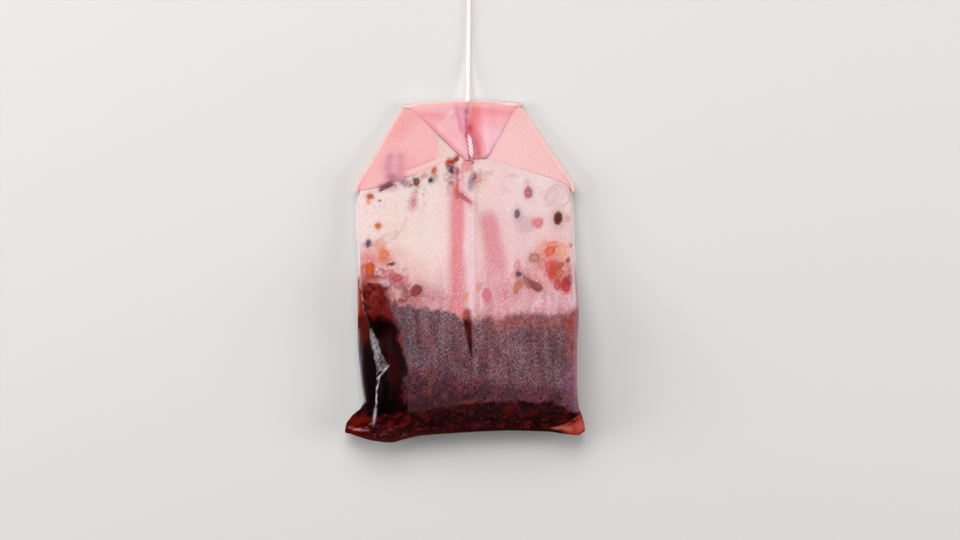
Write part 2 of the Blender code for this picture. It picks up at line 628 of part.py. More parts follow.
def build():
    for thing in list(bpy.data.objects):
        bpy.data.objects.remove(thing, do_unlink=True)

    paper_finish = finish("wet_filter_paper", (0.80, 0.48, 0.46), 0.55)
    tea_finish = finish("wet_tea", (0.10, 0.02, 0.02), 0.35)
    cotton = finish("cotton_thread", (0.85, 0.80, 0.74), 0.8)
    card = finish("tag_card", (0.86, 0.83, 0.77), 0.7)
    colours = {
        "hibiscus": (0.16, 0.01, 0.04),
        "hibiscus_red": (0.35, 0.03, 0.04),
        "seed_brown": (0.16, 0.04, 0.02),
        "seed_dark": (0.06, 0.03, 0.05),
        "peel_orange": (0.70, 0.22, 0.06),
        "petal_pink": (0.65, 0.25, 0.20),
    }
    bit_finishes = {name: finish(name, colour, 0.4) for name, colour in colours.items()}

    paper = paper_shell(paper_finish)
    left_edge = [(-19.6, 15.9), (-16.0, 16.2), (-13.0, 17.1), (-10.0, 18.3), (-7.0, 19.6), (-4.4, 20.9),
                 (-5.2, 23.0), (-5.4, 25.5), (-5.6, 28.0), (-6.0, 29.6)]
    right_edge = [(19.4, 16.7), (16.8, 17.7), (14.2, 18.6), (11.0, 19.6), (8.0, 20.5), (4.9, 21.4),
                  (4.4, 23.0), (4.4, 25.5), (4.8, 28.0), (5.4, 29.6)]
    for name, side, edge in (("corner_left", -1, left_edge), ("corner_right", 1, right_edge)):
        join_or_cut(paper, corner_flap(name, side, edge), "UNION")

    tip_z = front_top(THREAD_X, HOLE_Y) + TIP_REST
    pierce_z = front_top(PIERCE_X, PIERCE_Y)
    hidden_z = front_top(THREAD_X, 30.0) + CLEAR + THREAD / 2
    holes = [
        hole_cutter("hole_tip", (0.6, HOLE_Y, tip_z + 1.0), (0.85, 2.0), 3.2, (0, 0, 1)),
        hole_cutter("hole_fold", (THREAD_X, FOLD_TOP, hidden_z), (0.8, 0.8), 4.0, (0, 1, 0)),
        hole_cutter("hole_front", (PIERCE_X, PIERCE_Y - 0.1, pierce_z), (0.85, 1.9), 0.9, (0, 0, 1)),
    ]
    for cutter in holes:
        join_or_cut(paper, cutter, "DIFFERENCE")

    tea_top_front = smooth(
        (-19.8, -4.0), (-11.6, -6.2), (-8.3, -6.9), (-1.9, -8.6),
        (3.3, -9.9), (10.6, -8.6), (16.4, -8.9), (21.0, -8.0),
    )
    tea_top_back = smooth((-20.0, -5.0), (0.0, -8.5), (20.0, -6.0))
    clump("tea_front", front_station, tea_top_front, TEA_END, tea_finish)
    clump("tea_back", back_station, tea_top_back, TEA_END, tea_finish)

    over = TIP_REST + WALL / 2 + CLEAR + THREAD / 2
    stitch = [
        (1.42, 17.6, (FRONT_LOW(17.6) + FRONT_HIGH(17.6)) / 2),
        (1.40, 18.6, (FRONT_LOW(18.6) + FRONT_HIGH(18.6)) / 2 + 0.05),
        (PIERCE_X, PIERCE_Y, pierce_z + 0.05),
        (1.30, 21.2, front_top(1.3, 21.2) + over),
        (1.20, 22.6, front_top(1.2, 22.6) + over),
        (1.00, 24.4, front_top(1.0, 24.4) + over + 0.25),
        (0.75, 26.2, front_top(0.7, 26.2) + over + 0.75),
        (0.60, HOLE_Y, front_top(0.6, HOLE_Y) + over - 0.25),
        (0.52, 28.7, hidden_z + 0.05),
        (THREAD_X, 30.2, hidden_z),
        (THREAD_X, 32.3, hidden_z),
    ]
    tube("thread_stitch", stitch, cotton)
    lie = OFF_TABLE + THREAD / 2
    lead = [
        (THREAD_X, 32.6, hidden_z),
        (0.52, 34.6, hidden_z - 0.25),
        (0.56, 37.5, 1.9),
        (0.62, 41.0, 1.05),
        (0.68, 45.0, lie),
        (0.74, 50.0, lie),
        (0.80, 55.0, lie),
        (0.83, 57.9, lie),
    ]
    tube("thread_lead", lead, cotton)
    coil("thread_coil", cotton)
    tag_edge = TAG_CORNER[0] + TAG_SIZE[0]
    middle = OFF_TABLE + TAG_LEAF + CLEAR + THREAD / 2
    tail = [
        (0.25, 66.9, middle + 0.15),
        (-0.1, 68.6, middle + 0.05),
        (-1.1, 70.6, middle),
        (tag_edge - 1.6, 72.0, middle),
        (tag_edge - 4.5, 72.6, middle),
        (tag_edge - 9.0, 72.4, middle),
    ]
    tube("thread_tail", tail, cotton)
    tag("paper_tag", card)

    for name, kind, x, y, length, width, thick, turn_deg, colour in BITS:
        bit(name, kind, x, y, length, width, thick, turn_deg, bit_finishes[colour])


build()
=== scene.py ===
# %% [markdown]
# # A used tea bag
#
# This lesson dresses a plain model of a used fruit tea bag. The bag is wet: one strip of
# filter paper, folded into two chambers, full of swollen hibiscus, with a cotton thread.
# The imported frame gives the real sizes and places, and each cell makes one piece or finish.

# %% Load the frame
import math

import bmesh
import bpy
import numpy as np
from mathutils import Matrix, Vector

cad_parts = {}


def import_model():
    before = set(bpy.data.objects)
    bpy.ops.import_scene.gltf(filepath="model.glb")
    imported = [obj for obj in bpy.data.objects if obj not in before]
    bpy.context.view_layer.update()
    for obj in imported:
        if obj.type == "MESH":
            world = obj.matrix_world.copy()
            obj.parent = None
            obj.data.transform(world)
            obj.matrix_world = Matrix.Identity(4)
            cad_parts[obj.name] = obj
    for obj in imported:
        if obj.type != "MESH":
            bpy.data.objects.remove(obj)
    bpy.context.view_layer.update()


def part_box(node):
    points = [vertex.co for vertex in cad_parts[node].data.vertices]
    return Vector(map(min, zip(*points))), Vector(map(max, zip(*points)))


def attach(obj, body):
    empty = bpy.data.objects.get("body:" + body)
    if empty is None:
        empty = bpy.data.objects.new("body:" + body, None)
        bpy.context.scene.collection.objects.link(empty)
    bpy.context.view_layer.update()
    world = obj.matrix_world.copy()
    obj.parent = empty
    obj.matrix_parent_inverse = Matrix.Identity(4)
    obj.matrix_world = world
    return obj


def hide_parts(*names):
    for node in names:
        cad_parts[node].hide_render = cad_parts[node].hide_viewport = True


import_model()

MM = 0.001
bag_low, bag_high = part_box("filter_paper")
BAG_THICK = bag_high.z / MM
print("bag, in millimetres:", [round(side / MM, 1) for side in bag_high - bag_low])

# %% [markdown]
# ## Camera, light and floor
#
# A limp wet bag can't stand, so it lies on its back and the camera looks straight down at
# its front. A long lens from half a metre keeps the outline free of perspective. Most of
# the light is one wide soft source past the thread's end, because a raking light draws the
# paper's folds, and two weaker ones at the sides catch the wet edges.

# %% Camera
PICTURE_WIDTH = 185 * MM
PICTURE_SHIFT = 2.9 * MM
LENS, SENSOR = 100.0, 36.0


def new_object(name, data):
    """An object in the scene that shows a mesh, a light or other data."""
    thing = bpy.data.objects.new(name, data)
    bpy.context.scene.collection.objects.link(thing)
    return thing


camera = new_object("camera", bpy.data.cameras.new("camera"))
camera.data.lens = LENS
camera.data.sensor_width = SENSOR
camera.location = (PICTURE_SHIFT, 0.0, bag_high.z / 2 + PICTURE_WIDTH * LENS / SENSOR)
bpy.context.scene.camera = camera
bpy.context.scene.view_settings.view_transform = "Standard"
print("camera is", round(camera.location.z, 3), "m above the floor")


# %% Lights, sky and floor
def soft_light(name, place, target, size, watts):
    """A square soft box that faces a target."""
    light = new_object(name, bpy.data.lights.new(name, "AREA"))
    light.data.size = size
    light.data.energy = watts
    light.location = place
    light.rotation_euler = (Vector(target) - Vector(place)).to_track_quat("-Z", "Y").to_euler()


MIDDLE = (0.0, 0.0, BAG_THICK / 2 * MM)
soft_light("key", (-0.08, 0.33, 0.50), MIDDLE, 0.45, 3.05)
soft_light("left", (-0.45, 0.05, 0.28), MIDDLE, 0.30, 1.25)
soft_light("right", (0.46, -0.05, 0.30), MIDDLE, 0.30, 1.25)

world = bpy.data.worlds.new("studio")
world.use_nodes = True
sky = world.node_tree.nodes["Background"]
sky.inputs["Color"].default_value = (1.0, 0.98, 0.97, 1.0)
sky.inputs["Strength"].default_value = 0.13
bpy.context.scene.world = world


def mesh_object(name, points, faces, material):
    """A smooth mesh object at the origin, from points in millimetres."""
    mesh = bpy.data.meshes.new(name)
    mesh.from_pydata((np.asarray(points, float) * MM).tolist(), [], [list(f) for f in faces])
    mesh.polygons.foreach_set("use_smooth", [True] * len(mesh.polygons))
    mesh.update()
    mesh.materials.append(material)
    return new_object(name, mesh)


FLOOR_REACH, FLOOR_DROP = 1500.0, 0.01
floor_finish = bpy.data.materials.new("floor")
floor_finish.use_nodes = True
floor_shader = floor_finish.node_tree.nodes["Principled BSDF"]
floor_shader.inputs["Base Color"].default_value = (0.66, 0.655, 0.645, 1.0)
floor_shader.inputs["Roughness"].default_value = 0.75
square = ((-1, -1), (1, -1), (1, 1), (-1, 1))
corners = [(FLOOR_REACH * x, FLOOR_REACH * y, -FLOOR_DROP) for x, y in square]
floor = mesh_object("floor", corners, [(0, 1, 2, 3)], floor_finish)

# %% [markdown]
# ## Curves, noise and strokes
#
# The bag has no straight faces. Its outline and thickness are smooth curves along its
# length, its wrinkles are noise stretched along the folds, and its stains are soft strokes.
# Small helpers for these three keep every later cell short.


# %% A smooth curve through a few chosen values
def smooth(*knots):
    """A curve through (place, value) pairs that never overshoots them. It takes arrays."""
    places, values = np.array(sorted(knots), float).T
    slopes = np.diff(values) / np.diff(places)
    product = slopes[:-1] * slopes[1:]
    total = np.where(product > 0, slopes[:-1] + slopes[1:], 1.0)
    inner = np.where(product > 0, 2 * product / total, 0.0)
    tangents = np.concatenate([slopes[:1], inner, slopes[-1:]])

    def at(place):
        place = np.clip(place, places[0], places[-1])
        i = np.clip(np.searchsorted(places, place) - 1, 0, len(places) - 2)
        span = places[i + 1] - places[i]
        t = (place - places[i]) / span
        return (
            (1 + 2 * t) * (1 - t) ** 2 * values[i]
            + t * (1 - t) ** 2 * span * tangents[i]
            + t * t * (3 - 2 * t) * values[i + 1]
            + t * t * (t - 1) * span * tangents[i + 1]
        )

    return at


def ease(value):
    """0 below 0, 1 above 1, and a soft step between."""
    value = np.clip(value, 0.0, 1.0)
    return value * value * (3 - 2 * value)


def past(value, start, width):
    """0 up to a start, 1 from a width past it, and a soft step between."""
    return ease((value - start) / width)


def before(value, end, width):
    """1 until a width before an end, 0 from the end on, and a soft step between."""
    return ease((end - value) / width)


def hump(value, middle, reach):
    """1 at the middle, and a soft fall on either side."""
    return np.exp(-(((value - middle) / reach) ** 2))


def noise(seed, size=128):
    """Smooth noise in the plane, from -0.5 to 0.5, with one bump a unit."""
    table = np.random.default_rng(seed).random((size, size)) - 0.5

    def at(x, y):
        x0, y0 = np.floor(x).astype(int), np.floor(y).astype(int)
        fx, fy = ease(x - x0), ease(y - y0)

        def row(j):
            return table[x0 % size, j % size] * (1 - fx) + table[(x0 + 1) % size, j % size] * fx

        return row(y0) * (1 - fy) + row(y0 + 1) * fy

    return at


# %% Strokes and spots, as weights from 0 to 1
def distance_to_line(x, y, route):
    """Distance from each place to an open line of points."""
    best = np.full(np.broadcast(x, y).shape, 1e9)
    for (ax, ay), (bx, by) in zip(route, route[1:]):
        dx, dy = bx - ax, by - ay
        t = np.clip(((x - ax) * dx + (y - ay) * dy) / (dx * dx + dy * dy), 0, 1)
        best = np.minimum(best, np.hypot(x - ax - t * dx, y - ay - t * dy))
    return best


def stroke(x, y, route, width):
    """A soft line of the given half width."""
    return np.exp(-((distance_to_line(x, y, route) / width) ** 2))


def oval_reach(x, y, centre, radii, turn):
    """0 at the middle of a turned oval and 1 on its rim."""
    c, s = math.cos(math.radians(turn)), math.sin(math.radians(turn))
    dx, dy = x - centre[0], y - centre[1]
    return np.hypot((dx * c + dy * s) / radii[0], (dy * c - dx * s) / radii[1])


def spot(x, y, centre, radii, turn=0.0, edge=0.35):
    """An oval with a soft rim, radii in millimetres and turn in degrees."""
    return ease((1 + edge - oval_reach(x, y, centre, radii, turn)) / (2 * edge))


def oval(x, y, centre, radii, turn, soft=0.35):
    """An oval whose rim is equally soft all round, in millimetres."""
    return ease(0.5 + (1 - oval_reach(x, y, centre, radii, turn)) * np.minimum(*radii) / soft)


def beside(x, y, line, soft):
    """1 to the right of a line that runs along Y, 0 to its left, with a soft edge."""
    return ease((x - line(y)) / soft + 0.5)


def above(x, y, line, soft):
    """1 above a line that runs along X, 0 below it, with a soft edge."""
    return ease((y - line(x)) / soft + 0.5)


def srgb(r, g, b):
    """A screen colour, 0 to 255, as linear light."""
    c = np.array([r, g, b], float) / 255
    return np.where(c <= 0.04045, c / 12.92, ((c + 0.055) / 1.055) ** 2.4)


# %% [markdown]
# ## The paper's form
#
# The real bag is one tube of filter paper. It runs down the front chamber, folds up and
# down again in a W, and runs up the back chamber. It could be modelled as two pillows, but
# then the bottom would have no folds and no pointed corners. Here one section, flat where
# the tube is folded and swollen where the tea lies, is swept along the whole tube.

# %% The bag's outline and thickness
WALL = 0.12
FLAT = 0.27
TUBE_TOP, CREASE_Y, VALLEY_Y = 31.2, -31.4, -25.0
EDGE_HEIGHT = 0.45

BACK_LEFT = smooth(
    (31.6, -11.8), (27.5, -14.2), (23.5, -16.5), (19.5, -18.8), (15.8, -20.9), (12.0, -21.35),
    (7.7, -21.3), (2.9, -20.95), (-13.5, -20.85), (-19.3, -20.4), (-23.1, -20.0), (-25.8, -19.6),
    (-27.6, -21.0), (-29.5, -22.8), (-31.4, -23.15),
)
BACK_RIGHT = smooth(
    (31.6, 10.7), (27.5, 13.4), (23.5, 16.1), (19.5, 18.7), (16.2, 20.8), (12.0, 21.2), (5.8, 21.45),
    (-3.9, 21.8), (-8.7, 22.1), (-15.0, 21.8), (-20.2, 21.8), (-24.1, 21.9),
    (-27.0, 22.2), (-29.5, 23.0), (-31.4, 23.15),
)
FRONT_LEFT_INSET = smooth(
    (31.6, 0.5), (10.0, 0.6), (-4.0, 0.8), (-7.5, 1.3), (-10.6, 2.4), (-14.0, 2.6), (-19.0, 3.3),
    (-22.7, 2.9), (-26.2, 2.2), (-28.5, 1.9), (-31.4, 0.0),
)
FRONT_RIGHT_INSET = smooth(
    (31.6, 0.5), (10.0, 0.6), (-4.0, 0.5), (-14.0, 0.3), (-22.0, 0.3), (-29.0, 0.2), (-31.4, 0.0),
)
BACK_LOW = smooth(
    (31.6, -0.05), (20.0, -0.15), (0.0, -0.3), (-24.0, -0.3), (-28.0, 0.25), (-30.0, 1.1),
    (-31.4, 2.13),
)
BACK_HIGH = smooth(
    (31.6, 0.9), (26.0, 1.2), (20.0, 1.9), (14.0, 2.4), (6.0, 3.0), (0.0, 3.8), (-4.0, 5.0),
    (-8.0, 6.2), (-14.0, 6.8), (-20.0, 6.5), (-24.0, 5.5), (-28.0, 4.1), (-30.0, 3.3), (-31.4, 2.67),
)
FRONT_LOW = smooth(
    (31.6, 1.25), (26.0, 1.55), (20.0, 2.25), (14.0, 2.75), (6.0, 3.35), (0.0, 4.15), (-4.0, 5.35),
    (-8.0, 6.55), (-14.0, 7.15), (-20.0, 7.2), (-24.0, 7.8), (-26.0, 7.8), (-28.0, 7.4),
    (-30.0, 6.8), (-31.4, 6.53),
)
FRONT_HIGH = smooth(
    (31.6, 2.15), (26.0, 2.9), (20.0, 4.3), (14.0, 5.5), (6.0, 6.8), (0.0, 8.6), (-4.0, 11.0),
    (-8.0, 13.2), (-14.0, 14.5), (-20.0, 14.4), (-24.0, 13.9), (-25.6, 13.3), (-27.0, 11.6),
    (-29.0, 9.3), (-30.4, 7.9), (-31.4, 7.07),
)
FIN = smooth((31.6, 0.1), (10.0, 0.0), (-24.0, 0.0), (-27.0, 0.5), (-29.5, 1.2), (-31.4, 0.0))
LEFT_FALL = smooth((6.0, 0.0), (-8.0, 0.25), (-14.0, 0.42), (-24.0, 0.42), (-30.0, 0.0))
LEFT_SINK = smooth((2.0, 0.0), (-8.0, 1.0), (-14.0, 2.2), (-24.0, 2.2), (-29.0, 0.6), (-31.4, 0.0))
HEM = smooth(
    (-23.2, 0.6), (-22.2, 0.5), (-20.8, 0.1), (-17.5, -0.8), (-14.3, -1.1), (-11.8, -0.5), (-8.7, 0.2),
    (-3.7, 0.6), (2.9, 1.0), (8.7, 1.2), (16.2, 1.0), (18.9, 0.6), (21.8, 0.3), (23.2, 0.9),
)


def hem(x, y):
    """How far the bottom edge hangs down at the left and draws up along the middle."""
    return HEM(x) * before(y, VALLEY_Y - 0.5, 6.0)


# %% Sections along the tube
class Tube:
    """Sections of the paper tube, one row for each place on its path in the YZ plane.

    Each lies at (y, z), and (ny, nz) is the way that its outer ply faces.
    """

    def __init__(self, y, z, left, right, outer, inner, fin=0.0, fall=0.0, sink=0.0, on_floor=False):
        rows = np.ones(len(y))
        self.y, self.z = np.array(y, float), z * rows
        self.left, self.right = left * rows, right * rows
        self.outer, self.inner = outer * rows, inner * rows
        self.fin, self.fall, self.sink = fin * rows, fall * rows, sink * rows
        self.on_floor = on_floor * rows
        self.ny, self.nz = 0 * rows, rows

    def joined(self, *others):
        """The same tube with other ones after it."""
        for name in vars(self):
            setattr(self, name, np.concatenate([getattr(t, name) for t in (self, *others)]))
        return self


def front_tube(y):
    y = np.asarray(y, float)
    low, high = FRONT_LOW(y), FRONT_HIGH(y)
    z = low + EDGE_HEIGHT * (high - low)
    left, right = BACK_LEFT(y) + FRONT_LEFT_INSET(y), BACK_RIGHT(y) - FRONT_RIGHT_INSET(y)
    return Tube(y, z, left, right, high - z, z - low, FIN(y), LEFT_FALL(y), LEFT_SINK(y))


def back_tube(y):
    y = np.asarray(y, float)
    low, high = BACK_LOW(y), BACK_HIGH(y)
    z = low + EDGE_HEIGHT * (high - low)
    tube = Tube(y, z, BACK_LEFT(y), BACK_RIGHT(y), z - low, high - z, FIN(y), on_floor=True)
    tube.nz = -tube.nz
    return tube


def flat_tube(y, z):
    """The W's legs: full width at the creases, and tucked in between the chambers above them."""
    y = np.asarray(y, float)
    tuck = past(y, -30.2, 3.6)
    left, right = BACK_LEFT(y) + 3.0 * tuck, BACK_RIGHT(y) - 1.8 * tuck
    return Tube(y, np.asarray(z, float), left, right, FLAT, FLAT)


def turn_tube(y, z_from, z_to, towards, steps=7):
    """Flat sections round a half-round crease."""
    a = np.pi * np.arange(1, steps + 1) / (steps + 1)
    radius, centre = (z_from - z_to) / 2, (z_from + z_to) / 2
    return flat_tube(y + towards * radius * np.sin(a), centre + radius * np.cos(a))


# %% [markdown]
# ## Wrinkles
#
# Wet paper is pulled into folds that run down from the closed top, and it takes the shape
# of the lumps of tea behind it. A cloth simulation gives folds in places that can't be
# chosen. These folds have known places, so each is a ridge or a valley along its own line.

# %% Where the surface bends
CLUMPS, LUMPS = noise(11), noise(12)
PLEATS, CREASES = noise(13), noise(14)

HAZE_LEFT = smooth(
    (-8.0, -13.6), (-11.6, -12.8), (-15.0, -12.3), (-19.8, -11.4), (-22.2, -11.9), (-27.5, -11.4),
)
HAZE_LOW = smooth(
    (-20.0, -28.6), (-11.4, -27.6), (-5.4, -26.5), (-1.0, -25.8), (9.4, -25.1), (17.9, -25.7),
    (21.2, -27.4),
)
TEA_LINE = smooth(
    (-21.0, -2.8), (-16.4, -4.6), (-12.6, -6.3), (-8.6, -7.1), (-4.8, -7.6), (-1.9, -8.6), (-0.6, -9.4),
    (0.6, -8.2), (1.8, -9.8), (4.6, -9.2), (6.0, -10.0), (10.6, -8.9), (16.4, -9.2), (22.0, -8.0),
)
WEDGE_LEFT = smooth((-8.8, 0.0), (-10.0, -0.2), (-12.5, 0.3), (-15.8, 1.0), (-17.2, 1.4))
WEDGE_RIGHT = smooth((-8.8, 1.35), (-13.5, 1.4), (-17.2, 1.5))
SIDE_FOLD = [(-14.7, -18.4), (-16.4, -20.5), (-16.9, -22.7), (-17.1, -26.2), (-17.6, -30.0)]


def wedge(x, y):
    """The crease that opens at the tea's top line, wide above and closed below."""
    inside = ease((x - WEDGE_LEFT(y)) / 0.35 + 0.5) * ease((WEDGE_RIGHT(y) - x) / 0.25 + 0.5)
    return inside * before(y, -9.0, 0.9) * past(y, -17.4, 0.6)


def relief(x, y):
    """How far the front ply stands out of its smooth form, in millimetres."""
    tea = before(y, TEA_LINE(x) + 1.5, 5.0)
    dark_side = 1 - beside(x, y, HAZE_LEFT, 2.0)
    rise = tea * (0.55 * CLUMPS(x / 5.5, y / 4.0) + 0.30 * LUMPS(x / 2.1, y / 2.3))
    rise = rise + (1 - tea) * 0.40 * PLEATS(x / 2.4, y / 17.0) * before(y, 20.0, 6.0)
    rise = rise + 0.12 * CREASES(x / 0.8, y / 6.0 + 0.2 * x) * before(y, 17.0, 5.0)
    rise = rise + 0.45 * stroke(x, y, [(1.7, 17.0), (1.6, 4.0), (2.0, -9.0)], 0.5)
    rise = rise - 0.40 * stroke(x, y, [(-1.6, 13.0), (-1.4, -8.0)], 1.2)
    rise = rise - 0.45 * stroke(x, y, [(4.2, 10.0), (6.4, -7.0)], 1.6)
    rise = rise - 1.1 * past(y, -18.0, 8.0) * wedge(x, y) * tea
    rise = rise + 0.7 * stroke(x, y, SIDE_FOLD, 0.30) * dark_side
    rise = rise - 0.6 * stroke(x, y, [(-14.6, -12.0), (-14.4, -20.0), (-14.6, -28.0)], 1.3) * dark_side
    rise = rise + 0.35 * hump(y, HAZE_LOW(x), 0.55) * tea
    rise = rise - 0.8 * spot(x, y, (-21.2, -30.1), (1.5, 0.9), 20, 0.9)
    return rise


# %% The section's points
BOX_POWER, EDGE_POWER, RELIEF_POWER = 3.0, 12.0, 8


def across_section(tube, x):
    """Where each x lies across its own section, from -1 (left) to 1 (right)."""
    half = (tube.right - tube.left) / 2
    return np.clip((x - (tube.left + tube.right) / 2) / half, -1, 1)


def crown(u, fin):
    """How far a section swells, 0 at its folded edges and 1 in its middle."""
    return (1 - np.abs(u) ** BOX_POWER) ** (0.5 + fin)


def rounded_edge(u):
    """The short round of the paper at each folded edge."""
    return np.sqrt(np.clip(1 - np.abs(u) ** EDGE_POWER, 0, 1))


def left_slope(u, fall):
    """How much of its height the front ply keeps towards the left, where the tea has slid away."""
    return 1 - fall * past(-u, 0.3, 0.6)


def left_side(x):
    """1 on the left side, which sinks, and 0 from there to the right."""
    return before(x, -9.5, 8.0)


def tube_points(tube, u, side, inset):
    """Points of every section at each u from -1 (left) to 1 (right), on one or the other ply."""
    column = {name: value[:, None] for name, value in vars(tube).items()}
    middle = (column["left"] + column["right"]) / 2
    half = (column["right"] - column["left"]) / 2 - inset
    reach = np.where(side > 0, column["outer"], column["inner"])
    height = np.maximum(reach - FLAT, 0.0) * crown(u, column["fin"])
    height = height * np.where(side > 0, left_slope(u, column["fall"]), 1.0)
    height = (height + (FLAT - inset) * rounded_edge(u)) * side
    x = middle + half * u
    y = column["y"] + column["ny"] * height
    z = column["z"] + column["nz"] * height - column["sink"] * left_side(x)
    front_ply = (side > 0) & (column["nz"] > 0.99) & (column["outer"] > FLAT + 0.01)
    z = z + np.where(front_ply, relief(x, y) * (1 - np.abs(u) ** RELIEF_POWER), 0.0)
    z = np.where(column["on_floor"] > 0, np.maximum(z, inset), z)
    return np.stack([x, y + hem(x, column["y"]), z], axis=-1)


def front_top(x, y):
    """Height of the front ply's outer side at each place."""
    x, y = np.broadcast_arrays(np.asarray(x, float), np.asarray(y, float))
    tube = front_tube(y.ravel())
    u = across_section(tube, x.ravel())
    shape = crown(u, tube.fin) * left_slope(u, tube.fall)
    height = np.maximum(tube.outer - FLAT, 0) * shape + FLAT * rounded_edge(u)
    z = tube.z + height - tube.sink * left_side(x.ravel())
    return (z + relief(x.ravel(), y.ravel()) * (1 - np.abs(u) ** RELIEF_POWER)).reshape(x.shape)


# %% [markdown]
# ## Thread
#
# Soft cotton thread of three plies. It leaves the folded tip, lies straight along the
# surface, and the rest of its length is put away in a small coil beside the tag. It comes
# before the paper, because everything that a cord needs, its length and its coil, has to
# fit first. Each ply is a tube that winds round the same centre line.

# %% The thread's route
THREAD = 0.9
thread_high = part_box("thread_lead")[1].z / MM - THREAD / 2
coil_low, coil_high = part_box("thread_coil")
LIE = coil_low.z / MM + THREAD / 2
LEAD = [
    (0.50, 32.6, thread_high), (0.52, 34.6, thread_high - 0.25), (0.56, 37.5, 1.9), (0.62, 41.0, 1.05),
    (0.68, 45.0, LIE), (0.74, 50.0, LIE), (0.80, 55.0, LIE), (0.80, 57.9, LIE), (0.62, 60.5, LIE),
]
COIL_X, COIL_Y = (coil_low.x + coil_high.x) / 2 / MM, (coil_low.y + coil_high.y) / 2 / MM
COIL_RADIUS = (coil_high.x - coil_low.x) / 2 / MM - 1.0
TAIL_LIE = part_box("thread_tail")[0].z / MM + THREAD / 2
TAIL = [
    (0.25, 66.9, TAIL_LIE + 0.15), (-0.1, 68.6, TAIL_LIE + 0.05), (-1.1, 70.6, TAIL_LIE),
    (-3.2, 72.0, TAIL_LIE), (-6.1, 72.6, TAIL_LIE), (-10.6, 72.4, TAIL_LIE),
]


def curve_through(places, steps=12):
    """A smooth curve through a few places."""
    p = np.array(places, float)
    p = np.vstack([2 * p[0] - p[1], p, 2 * p[-1] - p[-2]])
    t = np.linspace(0, 1, steps, endpoint=False)[:, None]
    parts = []
    for a, b, c, d in zip(p, p[1:], p[2:], p[3:]):
        bend, twist = 2 * a - 5 * b + 4 * c - d, 3 * b - a - 3 * c + d
        parts.append(0.5 * (2 * b + (c - a) * t + bend * t**2 + twist * t**3))
    return np.vstack(parts + [p[-2:-1]])


def coil_route(turns=4, each=24):
    """Four turns, two on the floor and two on them, that wind clockwise from the left."""
    outward = (0.5, -0.5, -0.5, 0.5, 0.5)
    levels = (0.0, 0.0, 1.0, 1.0, 1.0)
    route = []
    for i in range(turns * each + 1):
        turn, part = int(i // each), i / each % 1.0
        following = min(turn + 1, turns)
        step = float(past(part, 0.84, 0.16))
        radius = COIL_RADIUS + THREAD * (outward[turn] + step * (outward[following] - outward[turn]))
        level = LIE + THREAD * (levels[turn] + step * (levels[following] - levels[turn]))
        angle = math.pi - 2 * math.pi * i / each
        route.append((COIL_X + radius * math.cos(angle), COIL_Y + radius * math.sin(angle), level))
    return route


def evenly(points, gap):
    """The same route with its points a fixed distance apart, and its length."""
    points = np.asarray(points, float)
    length = np.concatenate([[0], np.cumsum(np.linalg.norm(np.diff(points, axis=0), axis=1))])
    places = np.linspace(0, length[-1], max(int(round(length[-1] / gap)), 2) + 1)
    return np.stack([np.interp(places, length, points[:, i]) for i in range(3)], axis=1), length[-1]


thread_path, thread_length = evenly(curve_through(LEAD + coil_route() + TAIL, 10), 0.25)
print("thread from the tip to the tag:", round(thread_length, 1), "mm")


# %% Plies twisted round a route
def travelling_frame(path):
    """Two directions across the route that turn with it and never spin."""
    along = np.gradient(path, axis=0)
    along /= np.linalg.norm(along, axis=1)[:, None]
    first = np.zeros_like(path)
    side = np.cross(along[0], (0.0, 0.3, 1.0))
    for i, direction in enumerate(along):
        side = side - direction * np.dot(side, direction)
        side /= np.linalg.norm(side)
        first[i] = side
    return first, np.cross(along, first)


def twisted_thread(path, swells=(), plies=3, pitch=2.7, sides=8, seed=5):
    """Points, faces and depths of the plies. Swells are places along Y where it's thicker or thinner."""
    orbit, thick = THREAD * 0.26, THREAD * 0.245
    one, two = travelling_frame(path)
    place = np.concatenate([[0], np.cumsum(np.linalg.norm(np.diff(path, axis=0), axis=1))])
    wander = noise(seed)
    points, faces, depth = [], [], []
    for ply in range(plies):
        phase = 2 * np.pi * (ply / plies - place / pitch) + 0.9 * wander(place / 5.0, place * 0 + 3.3)
        swell = 1 + 0.16 * wander(place / 1.7, place * 0 + ply)
        for middle, amount, reach in swells:
            swell = swell * (1 + amount * hump(path[:, 1], middle, reach))
        out = one * np.cos(phase)[:, None] + two * np.sin(phase)[:, None]
        centre = path + out * orbit * np.minimum(swell, 1.1)[:, None]
        across, upward = travelling_frame(centre)
        start = len(points)
        for k in range(sides):
            a = 2 * np.pi * k / sides
            ring = centre + (across * math.cos(a) + upward * math.sin(a)) * (thick * swell)[:, None]
            points.extend(ring)
            depth.extend(1 - np.linalg.norm(ring - path, axis=1) / (orbit + thick))
        rings = len(path)
        for k in range(sides):
            n = (k + 1) % sides
            for i in range(rings - 1):
                faces.append((start + k * rings + i, start + k * rings + i + 1,
                              start + n * rings + i + 1, start + n * rings + i))
        faces.append([start + k * rings for k in range(sides)])
        faces.append([start + k * rings + rings - 1 for k in reversed(range(sides))])
    return points, faces, depth


def closed(thing):
    """Turns a closed mesh's faces outwards."""
    shape = bmesh.new()
    shape.from_mesh(thing.data)
    bmesh.ops.recalc_face_normals(shape, faces=shape.faces)
    if shape.calc_volume(signed=True) < 0:
        bmesh.ops.reverse_faces(shape, faces=shape.faces)
    shape.to_mesh(thing.data)
    shape.free()
    return thing


# %% [markdown]
# ## Node materials
#
# Every finish here is a small node tree. One helper makes a material with its Principled
# shader, one adds a node with its inputs set or linked, and short ones stand for the nodes
# that every finish uses, so that a finish reads as a short list.


